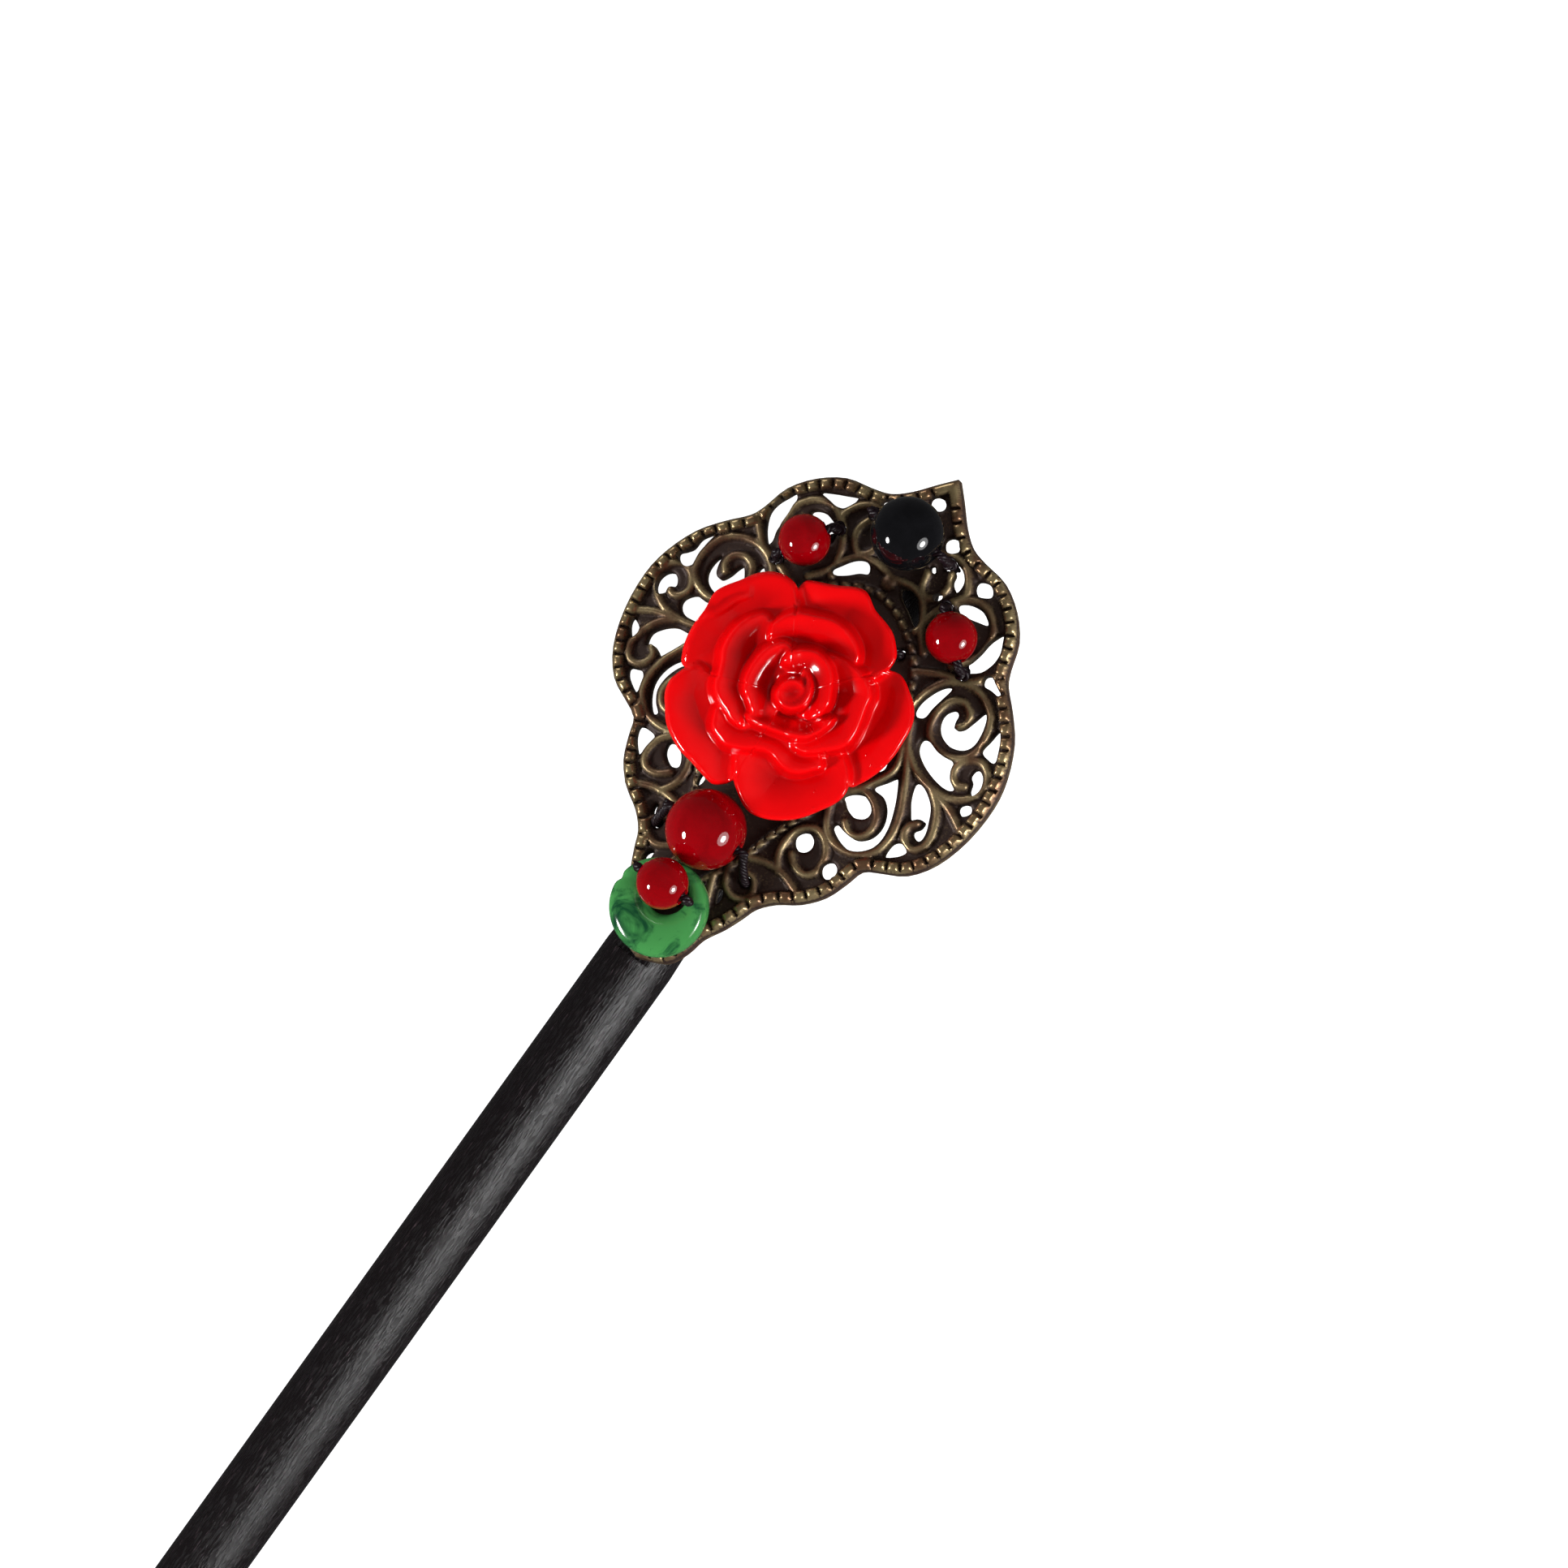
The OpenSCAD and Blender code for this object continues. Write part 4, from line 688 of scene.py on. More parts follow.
def antique_bronze(settings):
    """Cast zinc with antique bronze plating, relieved on a wheel: the scrolls and pads that
    stand up are worn to soft yellow metal, and the recesses keep a dull brown-black patina."""
    material, tree, shader = new_material("antique_bronze")
    place = add(tree, "ShaderNodeTexCoord").outputs["Object"]
    wear_and_shade = add(tree, "ShaderNodeAttribute", attribute_name="wear_and_shade").outputs["Fac"]
    blotch = add(tree, "ShaderNodeTexNoise", {
        "Vector": place, "Scale": 1 / (1.6 * MM), "Detail": 5, "Roughness": 0.65})
    speck = add(tree, "ShaderNodeTexNoise", {
        "Vector": place, "Scale": 1 / (0.22 * MM), "Detail": 3, "Roughness": 0.6})
    uneven = add(tree, "ShaderNodeMath", {0: blotch, 1: 0.5}, operation="SUBTRACT")
    shifted = add(tree, "ShaderNodeMath", {
        0: uneven, 1: 0.7, 2: wear_and_shade}, operation="MULTIPLY_ADD")
    grit = add(tree, "ShaderNodeMath", {0: speck, 1: 0.5}, operation="SUBTRACT")
    gritty = add(tree, "ShaderNodeMath", {
        0: grit, 1: 0.9, 2: shifted}, operation="MULTIPLY_ADD")
    worn = add(tree, "ShaderNodeMapRange", {"Value": gritty, "From Min": 0.08, "From Max": 1})
    thin = add(tree, "ShaderNodeTexNoise", {
        "Vector": place, "Scale": 1 / (2.6 * MM), "Detail": 3})
    through = add(tree, "ShaderNodeMapRange", {
        "Value": thin, "From Min": 0.42, "From Max": 0.62})
    metal_tint = add(tree, "ShaderNodeMix", {
        0: through, 6: rgba(settings.bright), 7: rgba(settings.copper)}, data_type="RGBA")
    tint = add(tree, "ShaderNodeMix", {
        0: worn, 6: rgba(settings.patina), 7: metal_tint.outputs[2]}, data_type="RGBA")
    rough = add(tree, "ShaderNodeMapRange", {"Value": worn, "To Min": 0.55, "To Max": 0.34})
    metal = add(tree, "ShaderNodeMapRange", {"Value": worn, "To Min": 0.5, "To Max": 0.85})
    bump = add(tree, "ShaderNodeBump", {
        "Height": speck, "Strength": 0.35, "Distance": 0.04 * MM})
    set_inputs(tree, shader, {
        "Base Color": tint.outputs[2], "Roughness": rough, "Metallic": metal, "Normal": bump})
    return material


def red_resin(settings):
    """Opaque polyester resin cast in a soft mould and lacquered: the skin is glossy, with
    broad soft waves and a few cast pimples of about 0.2 mm that catch the light. Its red is
    painted darker towards each petal's valley, as painted shade."""
    material, tree, shader = new_material("red_resin")
    place = add(tree, "ShaderNodeTexCoord").outputs["Object"]
    wear_and_shade = add(tree, "ShaderNodeAttribute", attribute_name="wear_and_shade").outputs["Fac"]
    cloud = add(tree, "ShaderNodeTexNoise", {
        "Vector": place, "Scale": 1 / (3 * MM), "Detail": 2})
    # painted shade: the red darkens away from each petal's rim into its valley, with random
    # clouds of tone mixed in
    cloudy = add(tree, "ShaderNodeMath", {0: cloud, 1: 0.3, 2: wear_and_shade}, operation="MULTIPLY_ADD")
    shade = add(tree, "ShaderNodeMapRange", {
        "Value": cloudy, "From Min": 0.2, "From Max": 1}, interpolation_type="SMOOTHSTEP")
    tint = add(tree, "ShaderNodeMix", {
        0: shade, 6: rgba(settings.painted_valley_shade), 7: rgba(settings.resin)}, data_type="RGBA")
    spots = add(tree, "ShaderNodeTexVoronoi", {
        "Vector": place, "Scale": 1 / (1.7 * MM), "Randomness": 1})
    pimple = add(tree, "ShaderNodeMapRange", {
        "Value": spots.outputs["Distance"], "From Min": 0.02, "From Max": 0.085,
        "To Min": 1, "To Max": 0}, interpolation_type="SMOOTHSTEP")
    wave = add(tree, "ShaderNodeTexNoise", {
        "Vector": place, "Scale": 1 / (1.4 * MM), "Detail": 1})
    low = add(tree, "ShaderNodeBump", {"Height": wave, "Strength": 0.4, "Distance": 0.07 * MM})
    high = add(tree, "ShaderNodeBump", {
        "Height": pimple, "Strength": 0.6, "Distance": 0.06 * MM, "Normal": low})
    set_inputs(tree, shader, {
        "Base Color": tint.outputs[2], "Normal": high, "Roughness": 0.13,
        "Specular IOR Level": 0.45, "Subsurface Weight": 0.1, "Subsurface Scale": 1,
        "Subsurface Radius": (1.0 * MM, 0.15 * MM, 0.1 * MM)})
    return material


def polished_stone(name, first, second, patch, low, high, depth, rough=0.05):
    """Tumbled and polished stone: a glassy skin over clouds of two colours, whose patches
    have the given size in millimetres. depth is how far light spreads in it."""
    material, tree, shader = new_material(name)
    place = add(tree, "ShaderNodeTexCoord").outputs["Object"]
    cloud = add(tree, "ShaderNodeTexNoise", {
        "Vector": place, "Scale": 1 / (patch * MM), "Detail": 5, "Roughness": 0.6,
        "Distortion": 0.8})
    share = add(tree, "ShaderNodeMapRange", {"Value": cloud, "From Min": low, "From Max": high})
    tint = add(tree, "ShaderNodeMix", {
        0: share, 6: rgba(first), 7: rgba(second)}, data_type="RGBA")
    wave = add(tree, "ShaderNodeTexNoise", {
        "Vector": place, "Scale": 1 / (1.5 * MM), "Detail": 1})
    bump = add(tree, "ShaderNodeBump", {"Height": wave, "Strength": 0.25, "Distance": 0.05 * MM})
    set_inputs(tree, shader, {
        "Base Color": tint.outputs[2], "Normal": bump, "Roughness": rough, "IOR": 1.54,
        "Specular IOR Level": 0.4, "Subsurface Weight": 0.2 if depth else 0,
        "Subsurface Scale": 1, "Subsurface Radius": (depth * MM, depth * MM, depth * MM)})
    return material


def braided_thread(settings):
    """Braided polyester thread: fine filaments of about 0.1 mm give it a dry sheen. Each ply is
    painted lighter on its outer side and darker in the valleys between plies, as painted light
    and shade."""
    material, tree, shader = new_material("braided_thread")
    place = add(tree, "ShaderNodeTexCoord").outputs["Object"]
    wear_and_shade = add(tree, "ShaderNodeAttribute", attribute_name="wear_and_shade").outputs["Fac"]
    fibre = add(tree, "ShaderNodeTexNoise", {
        "Vector": place, "Scale": 1 / (0.12 * MM), "Detail": 3})
    # painted light and shade: light on the plies' outer sides, dark in the valleys between them
    tint = add(tree, "ShaderNodeMix", {
        0: wear_and_shade, 6: rgba(settings.dark), 7: rgba(settings.light)}, data_type="RGBA")
    bump = add(tree, "ShaderNodeBump", {"Height": fibre, "Strength": 0.6, "Distance": 0.05 * MM})
    set_inputs(tree, shader, {
        "Base Color": tint.outputs[2], "Normal": bump, "Roughness": 0.42,
        "Specular IOR Level": 0.3})
    return material


# Stick
def stick_radius(s, x):
    """The stick's radius at x: a cone from the blunt ball point to the full radius, then
    round, then narrowing to the neck behind the plate, with a quarter circle at the head."""
    start, edge = s.reach - s.stick_len, s.neck_r / 2
    cone = s.point_r + (s.stick_r - s.point_r) * (x - start - s.point_r) / (
        s.taper - s.point_r)
    radius = np.clip(cone, 0, s.stick_r)
    ball = np.sqrt(np.maximum(s.point_r ** 2 - (start + s.point_r - x) ** 2, 0))
    radius = np.where(x < start + s.point_r, ball, radius)
    neck = np.interp(x, [s.neck_start, s.neck_end], [s.stick_r, s.neck_r])
    radius = np.where(x > s.neck_start, neck, radius)
    into = np.clip((x - s.reach + edge) / edge, 0, 1)
    return np.where(into > 0, s.neck_r - edge + edge * np.sqrt(1 - into ** 2), radius)


class HAIRSTICK_OT_stick(bpy.types.Operator):
    """Round stick with its seat and thread grooves"""
    bl_idname = "hairstick.stick"
    bl_label = "Stick"

    def execute(self, context):
        s = Sizes(context.scene)
        start = s.reach - s.stick_len
        turn = np.linspace(0, np.pi / 2, 13)
        # the seat and the neck each start between two rows of points that are this far off
        off = 0.01
        x = [start + s.point_r * (1 - np.cos(turn)),
             np.linspace(start + s.point_r, s.seat_start - off, 60),
             [s.seat_start + off, s.neck_start - off],
             np.linspace(s.neck_start + off, s.reach - s.neck_r / 2, 80),
             s.reach - s.neck_r / 2 * (1 - np.sin(turn))]
        grooves = []
        half = (s.thread + 3 * s.clear) / 2
        for p in (s.large_pass, s.base_pass, s.lash_pass):
            core, drop = s.wrap(p[0])
            x.append(p[1] + half * np.array([-1.04, -0.98, -0.5, 0, 0.5, 0.98, 1.04]))
            grooves.append((p[1], core - s.thread / 2 - s.clear, drop))
        x = np.unique(np.concatenate(x).round(4))
        radius = stick_radius(s, x)
        # the angle grid has extra steps at the flat's two edges
        flat = s.back - s.lay
        side = math.acos(flat / s.stick_r)
        angle = np.unique(np.concatenate([np.linspace(-np.pi, np.pi, 97)[:-1] + np.pi / 2,
                                          np.pi / 2 + side * np.linspace(-1, 1, 9)]).round(5))
        angle = angle[:-1] if angle[-1] - angle[0] > 2 * np.pi - 1e-4 else angle
        r = np.repeat(radius[:, None], len(angle), 1)
        up = np.maximum(np.sin(angle), 1e-6)[None, :]
        on_seat = (x > s.seat_start)[:, None] & (np.sin(angle) > 0)[None, :]
        r = np.where(on_seat, np.minimum(r, flat / up), r)
        for middle, core, drop in grooves:
            ray = np.sqrt(core ** 2 - (drop * np.cos(angle)) ** 2) - drop * np.sin(angle)
            r = np.where((abs(x - middle) < half)[:, None], np.minimum(r, ray), r)
        points = np.stack([np.broadcast_to(x[:, None], r.shape), r * np.cos(angle),
                           r * np.sin(angle)], -1).reshape(-1, 3)
        quads = grid_faces(len(x), len(angle), wrap_columns=True)[:, ::-1]
        # the two ends close on a point each
        n, last = len(angle), len(points)
        points = np.vstack([points, [[x[0], 0, 0], [x[-1], 0, 0]]])
        j = np.arange(n)
        ends = np.vstack([np.stack([np.full(n, last), (j + 1) % n, j], 1),
                          np.stack([np.full(n, last + 1), last - n + j,
                                    last - n + (j + 1) % n], 1)])
        mesh = new_mesh("stick_shape", to_frame(points, s.in_stick), quads, ends)
        add_piece("dressed_stick", mesh, stained_wood(context.scene.stick_settings), "stick")
        return {"FINISHED"}


# Plate
def gap_lines(s):
    """The closed lines of all the gaps, in millimetres of the plate's frame."""
    lines = [smooth_line(s.at(row), 4, True) for row in GAPS_RIGHT]
    lines += [smooth_line(s.at(row) * (-1, 1), 4, True) for row in GAPS_LEFT]
    ring = unit(full_turn(24))
    lines.append(s.at(TIP_HOLE[:2]) + ring * s.tip_hole / 2 * (1, TIP_HOLE[2]))
    holes = [end for bead in TIED.values() for end in s.strand_ends(bead)]
    for p in (s.large_pass, s.lash_pass):
        holes += [np.array([s.stick_across(p[1]) + k * p[0], p[1]]) for k in (-1, 1)]
    lines += [h + ring * s.hole / 2 for h in holes]
    box = np.array([[-1, -1], [1, -1], [1, 1], [-1, 1]]) * (s.base_pass[0] + s.hole / 2,
                                                            s.hole / 2)
    lines.append(box + (s.stick_across(s.base_pass[1]), s.base_pass[1]))
    return lines


def metal_depth(s, p, gaps):
    """How far in each point lies in the plate's metal: its distance from the outline or from
    the nearest gap, below zero outside. Also the distance from the outline and the way
    along it."""
    edge, along = near_line(p, s.outline, True)
    edge = np.where(inside(p, s.outline), edge, -edge)
    depth = edge.copy()
    # a gap's edge is rounded off well within this distance in mm
    reach = 0.7
    for line in gaps:
        near = around(p, line, reach)
        if len(near):
            away, _ = near_line(p[near], line, True)
            depth[near] = np.minimum(depth[near],
                                     np.where(inside(p[near], line), -away, away))
    return depth, edge, along


def both_sides(s, row):
    """A scroll's line on the right side and on the left, where it lies a little further out."""
    row = np.asarray(row, float)
    out = row[:, 0] + LEFT_OUT * np.clip(row[:, 0] / LEFT_FROM, 0, 1)
    left = np.stack([-out, row[:, 1]], 1)
    return smooth_line(s.at(row), 6), smooth_line(s.at(left), 6)


def ridge_height(s, p):
    """Height of the scrolls above the web, as a share of their rise. Each is half round:
    (1 - (d/w)^2)^0.7 at a distance d from its line. The pointed frame's ridge is a row of
    beads at the top and a twisted rope at the lower sides: abs(cos(180 (run/pitch + slant d)))
    carved into the ridge, with no slant for the beads."""
    height = np.zeros(len(p))
    half, pitch, slant = s.scroll_w * 0.68, 1.05, 1.1
    # shares of the plate's length above which the beads and below which the rope are
    beads_from, rope_to = 0.6, 0.42
    for row in SCROLLS:
        for line in both_sides(s, row):
            near = around(p, line, 1)
            if len(near):
                away, _ = near_line(p[near], line)
                height[near] = np.maximum(height[near],
                                          np.clip(1 - (away / half) ** 2, 0, 1) ** 0.7)
    for line in both_sides(s, FRAME_SCROLL):
        near = around(p, line, 1)
        away, along = near_line(p[near], line)
        share = p[near, 1] / s.plate_len
        beads = abs(np.cos(np.pi * (along / pitch + np.where(share < 0.5, slant * away, 0))))
        carved = np.where(share > beads_from, 1.2, np.where(share < rope_to, 1, 0))
        ridge = np.clip(1 - (away / half / 0.9) ** 2, 0, 1) ** 0.6
        ridge = ridge * (1 - carved + carved * np.sqrt(beads))
        height[near] = np.maximum(height[near], ridge)
    return height


def rim_pads(s, edge, along):
    """The rim: a smooth outer bevel, sin(e/w * 90), then a row of pillow-shaped pads, each
    sqrt((1-u^6)(1-v^6)) high, with grooves between them; u goes along the rim and v across
    it. Gives the bevel and the pads as shares of the rim's height, and whether a point lies
    on the bevel."""
    # in mm, and where the pads' middle and half-width lie as shares of the rim's width
    bevel_width, bevel_end, smooth_tip = 0.24, 0.2, 2.2
    pad_middle, pad_half = 0.59, 0.39
    bevel = np.sin(np.clip(edge / bevel_width, 0, 1) * np.pi / 2)
    steps = np.diff(np.vstack([s.outline, s.outline[:1]]), axis=0)
    half = np.hypot(*steps.T).sum() / 2
    way = np.where(along > half, 2 * half - along, along)
    count = round(half / s.pitch)
    u = abs((way / half * count) % 1 - 0.5) * s.pitch / ((s.pitch - s.pad_gap * 0.8) / 2)
    u = np.where(way < smooth_tip, 0, u)
    v = abs(edge - pad_middle * s.rim_w) / (pad_half * s.rim_w)
    pad = np.sqrt(np.clip(1 - u ** 6, 0, 1) * np.clip(1 - v ** 6, 0, 1))
    return bevel, pad, edge < bevel_end


def plate_height(s, p, depth, edge, along):
    """The height of the plate's face, and how worn it is from 0 to 1: the web, rim and
    scrolls on it, the rose's flat seat, and edges rounded off towards each gap. Wear
    polishes the scrolls' tops, the pads and the rim's bevel, and leaves the web dark."""
    ridge = ridge_height(s, p)
    bevel, pad, outside = rim_pads(s, edge, along)
    # levels as shares of the rim's height: the bevel's top, the groove and the pads' feet.
    # The groove meets the web over a width of blend
    bevel_top, groove, foot, blend = 0.6, 0.25, 0.3, 0.2
    inner = np.clip((s.rim_w + blend / 2 - edge) / blend, 0, 1)
    rim = s.rim * np.where(outside, bevel_top * bevel, (groove + 0.3 * (edge < 0.22)) * inner)
    rim = np.maximum(rim, s.rim * (foot + (1 - foot) * pad) * (pad > 0))
    seat = (np.hypot(*(p - s.rose_at).T) < s.seat_r * 0.9) * 1.0
    # a round boss where the pointed frame meets the arch over it
    away = np.hypot(*(p - s.at((0, 0.783))).T) / (s.scroll_w * 1.2)
    boss = np.sqrt(np.clip(1 - away ** 2, 0, 1))
    relief = np.maximum.reduce([s.scroll * ridge, rim, s.scroll * seat,
                                s.scroll * 1.5 * boss])
    # how far in from a gap its edge is rounded off, and how far down
    round_in, round_down = 0.25, 0.14
    soft = np.clip(1 - depth / round_in, 0, 1) * (edge > depth + 1e-6)
    worn = np.maximum.reduce([0.72 * ridge ** 2, np.where(edge < s.rim_w + blend / 2, pad, 0),
                              np.where(outside, bevel, 0), 0.7 * boss])
    return s.web + relief - round_down * soft ** 2, worn


def plate_cells(s, gaps):
    """Square cells whose middle lies in the metal. Cells that would touch at one corner
    alone get a neighbour, and the border's points move onto the metal's edge."""
    low = s.outline.min(0) - 2 * s.cell
    count = (np.ceil((s.outline.max(0) - low) / s.cell) + 3).astype(int)
    gx, gy = np.meshgrid(*(low[k] + s.cell * np.arange(count[k]) for k in (0, 1)),
                         indexing="ij")
    p = np.stack([gx.ravel(), gy.ravel()], 1)
    depth = metal_depth(s, p, gaps)[0].reshape(count)
    keep = (depth[:-1, :-1] + depth[1:, :-1] + depth[:-1, 1:] + depth[1:, 1:]) > 0
    for _ in range(6):
        a, b, c, d = keep[:-1, :-1], keep[1:, :-1], keep[:-1, 1:], keep[1:, 1:]
        falling, rising = a & d & ~b & ~c, b & c & ~a & ~d
        if not (falling.any() or rising.any()):
            break
        keep[1:, :-1] |= falling
        keep[:-1, :-1] |= rising
    i, j = np.nonzero(keep)
    ny = count[1]
    quads = np.stack([i * ny + j, (i + 1) * ny + j, (i + 1) * ny + j + 1, i * ny + j + 1], 1)
    used, quads = np.unique(quads, return_inverse=True)
    quads = quads.reshape(-1, 4)
    p = p[used]
    # an edge that no cell runs back along is on the border
    start, end = quads.ravel(), np.roll(quads, -1, 1).ravel()
    border = ~np.isin(start * len(p) + end, end * len(p) + start)
    edges = np.stack([start[border], end[border]], 1)
    rim = np.unique(edges)
    # three Newton steps towards depth 0, each of at most 0.7 of a cell
    step = 0.25 * s.cell
    for _ in range(3):
        q = p[rim]
        here = metal_depth(s, q, gaps)[0]
        slope = np.stack([metal_depth(s, q + d, gaps)[0] - metal_depth(s, q - d, gaps)[0]
                          for d in ((step, 0), (0, step))], 1) / (2 * step)
        size = np.maximum((slope ** 2).sum(1, keepdims=True), 0.25)
        p[rim] = q - np.clip(here[:, None] * slope / size, -0.7 * s.cell, 0.7 * s.cell)
    return p, quads, edges


class HAIRSTICK_OT_plate(bpy.types.Operator):
    """Pierced plate with its scrolls and padded rim"""
    bl_idname = "hairstick.plate"
    bl_label = "Plate"

    def execute(self, context):
        s = Sizes(context.scene)
        gaps = gap_lines(s)
        p, quads, edges = plate_cells(s, gaps)
        height, worn = plate_height(s, p, *metal_depth(s, p, gaps))
        top = np.column_stack([p, height])
        back = np.column_stack([p, np.zeros(len(p))])
        walls = np.column_stack([edges + len(p), edges[:, ::-1]])
        quads = np.vstack([quads, quads[:, ::-1] + len(p), walls])
        mesh = new_mesh("plate_shape", to_frame(np.vstack([top, back]), s.on_plate), quads)
        # the back is worn a little all over
        set_attribute(mesh, "wear_and_shade", np.concatenate([worn, np.full(len(p), 0.4)]))
        add_piece("dressed_plate", mesh, antique_bronze(context.scene.plate_settings),
                  "filigree_plate", sharp=55)
        return {"FINISHED"}


# Rose
def petal_height(p, row):
    """Height of one petal over the points p, and how far in they lie in its outline. From its
    outline the rim rolls up as a quarter ellipse, drop (1 - sqrt(1 - (1 - depth/roll)^2))
    below its height, and then the face dips by (depth/reach)^1.6. Outside it falls off by
    4 mm for each mm. The rim's height at a point is the mean of the outline points'
    heights, each weighed by 1/(distance^2 + 0.3)^2."""
    roll, drop, dip, reach, rim = row
    rim = np.asarray(rim, float)
    line = smooth_line(rim[:, :2], 5, True)
    depth, _ = near_line(p, line, True)
    depth = np.where(inside(p, line), depth, -depth)
    weight = 1 / (((p[:, None, :] - rim[None, :, :2]) ** 2).sum(2) + 0.3) ** 2
    high = (weight * rim[:, 2]).sum(1) / weight.sum(1)
    edge = np.clip(1 - depth / roll, 0, 1)
    face = high - drop * (1 - np.sqrt(1 - edge ** 2)) - dip * np.clip(
        (depth - roll / 2) / reach, 0, 1.3) ** 1.6
    return np.where(depth > 0, face, high - drop + 4 * depth), depth


def rose_outline(turn):
    """Distance of the rose's outline from its middle in each direction: the furthest place
    on the ray that still lies in an outer petal."""
    # the distances that are tried are 0.05 mm apart
    r = np.linspace(6, 11.2, 105)
    p = (unit(turn)[:, None, :] * r[None, :, None]).reshape(-1, 2)
    depth = np.max([petal_height(p, row)[1] for row in PETALS[:5]], axis=0)
    depth = depth.reshape(len(turn), len(r))
    last = len(r) - 1 - (depth[:, ::-1] > 0).argmax(1)
    rows = np.arange(len(turn))
    a, b = depth[rows, last], depth[rows, np.minimum(last + 1, len(r) - 1)]
    return r[last] + (r[1] - r[0]) * a / np.maximum(a - b, 1e-6)


def rose_face(p):
    """Height of the rose's front over the points p: the highest of the petals, with a soft
    seam (0.4 - difference)^2 / 1.6 in each valley. Also how near each point lies to its
    petal's rim: 1 - depth/reach, and 0.6 on the walls under the rims. This share paints
    shade into the red: the lower it is, the darker the painted shade."""
    base, wall, seam_width = 2.6, 0.6, 0.4
    height, rim = np.full(len(p), base), np.zeros(len(p))
    for row in PETALS:
        near = around(p, np.asarray(row[4], float)[:, :2], 1.2)
        new, depth = petal_height(p[near], row)
        # the rim share paints shade: it is low deep in a valley and 0.6 on a wall under a rim
        share = np.where(depth > 0, 1 - np.clip(depth / row[3], 0, 1), wall)
        rim[near] = np.where(new > height[near], share, rim[near])
        seam = np.maximum(seam_width - abs(height[near] - new), 0) ** 2 / (4 * seam_width)
        height[near] = np.maximum(height[near], new) + seam
    return height, rim


class HAIRSTICK_OT_rose(bpy.types.Operator):
    """Moulded rose: petals, bud and foot joined into one casting"""
    bl_idname = "hairstick.rose"
    bl_label = "Rose"

    def execute(self, context):
        s = Sizes(context.scene)
        turn = full_turn(480)
        way = unit(turn)
        outline = rose_outline(turn)
        # rings of points lie closer together towards the outline
        share = np.linspace(0, 1, 141) ** 0.85
        flat = share[:, None, None] * outline[None, :, None] * way[None]
        both = np.stack(rose_face(flat.reshape(-1, 2)), -1).reshape(*flat.shape[:2], 2)
        # each round of smoothing takes the mean with the two neighbours both ways
        for _ in range(3):
            both[1:-1] = (both[:-2] + 2 * both[1:-1] + both[2:]) / 4
            both = (np.roll(both, 1, 1) + 2 * both + np.roll(both, -1, 1)) / 4
        # the second value is the rim share, which paints shade into the petals' valleys
        height, wear_and_shade = both[..., 0], both[..., 1]
        # the underside, as rows of distance from the middle and height: a thin lip, a hollow
        # under the petals, and the foot on its seat
        edge = height[-1]
        foot = s.seat_r * np.ones_like(turn)
        rows = [(outline + 0.02, edge - 0.25), (outline - 0.15, edge - 0.55),
                (outline - 0.9, edge - 0.75), ((outline + foot) / 2, 0.5 * edge + 0.4),
                (foot + 0.2, 1.3 + 0 * turn), (foot, 0.9 + 0 * turn), (foot, 0.12 + 0 * turn),
                (foot - 0.12, 0 * turn), (0 * turn, 0 * turn)]
        under = np.stack([r[:, None] * way for r, _ in rows])
        points = np.concatenate([np.concatenate([flat, under]),
                                 np.concatenate([height, [z for _, z in rows]])[..., None]], -1)
        # the heart leans to the right and the petals lie a little left, down and wider; the
        # foot stays where it is
        widen, slant, left, down = 0.026, 0.231, 0.911, 0.37
        lean = np.clip(points[..., 2] / 1.5, 0, 1)
        points[..., 0] = points[..., 0] * (1 + widen * lean) + (
            slant * points[..., 2] - left) * lean
        points[..., 1] -= down * lean
        n = len(points)
        points = points.reshape(-1, 3) * np.divide((s.rose_d, s.rose_d, s.rose_h), DRAWN)
        points += (*s.rose_at, s.seat_z)
        quads = grid_faces(n, len(turn), wrap_columns=True)
        mesh = new_mesh("rose_shape", to_frame(points, s.on_plate), quads)
        wear_and_shade = np.concatenate([wear_and_shade, np.full(under.shape[:2], 0.5)])
        set_attribute(mesh, "wear_and_shade", wear_and_shade.ravel())
        merge_poles(mesh)
        add_piece("dressed_rose", mesh, red_resin(context.scene.rose_settings), "rose",
                  sharp=180)
        return {"FINISHED"}


# Beads and ring
def bead_shape(s, size, seed):
    """A drilled bead: a ring-shaped surface whose section goes through the bore, over its
    rounded mouth and round the outside. The outside swells by a share of 0.005 +
    0.008 cos(2a + seed) + 0.006 cos(3a + 2 seed), as on a tumbled stone."""
    radius, bore = size / 2, s.bore / 2
    flat = radius * 0.96
    mouth = 0.12 * radius
    first = math.acos(flat / radius)
    arc = np.linspace(first + 0.05, np.pi - first - 0.05, 40)
    t = np.linspace(0, 1, 6)[1:-1]
    end, lip = mouth * t ** 2 * 0.6 - flat, bore + mouth * (1 - t)
    x = np.concatenate([radius * np.cos(arc), end, [-flat / 2, 0, flat / 2], -end[::-1]])
    r = np.concatenate([radius * np.sin(arc), lip, [bore, bore, bore], lip[::-1]])
    turn = full_turn(72)
    swell = 1.005 + 0.008 * np.cos(2 * turn + seed) + 0.006 * np.cos(3 * turn + 2 * seed)
    weight = np.clip((r - bore) / (radius - bore), 0, 1)[:, None]
    wide = r[:, None] * (1 + (swell - 1) * weight)
    points = np.stack([np.broadcast_to(x[:, None], wide.shape), wide * np.cos(turn),
                       wide * np.sin(turn)], -1)
    faces = grid_faces(len(x), len(turn), wrap_rows=True, wrap_columns=True)
    return points.reshape(-1, 3), faces


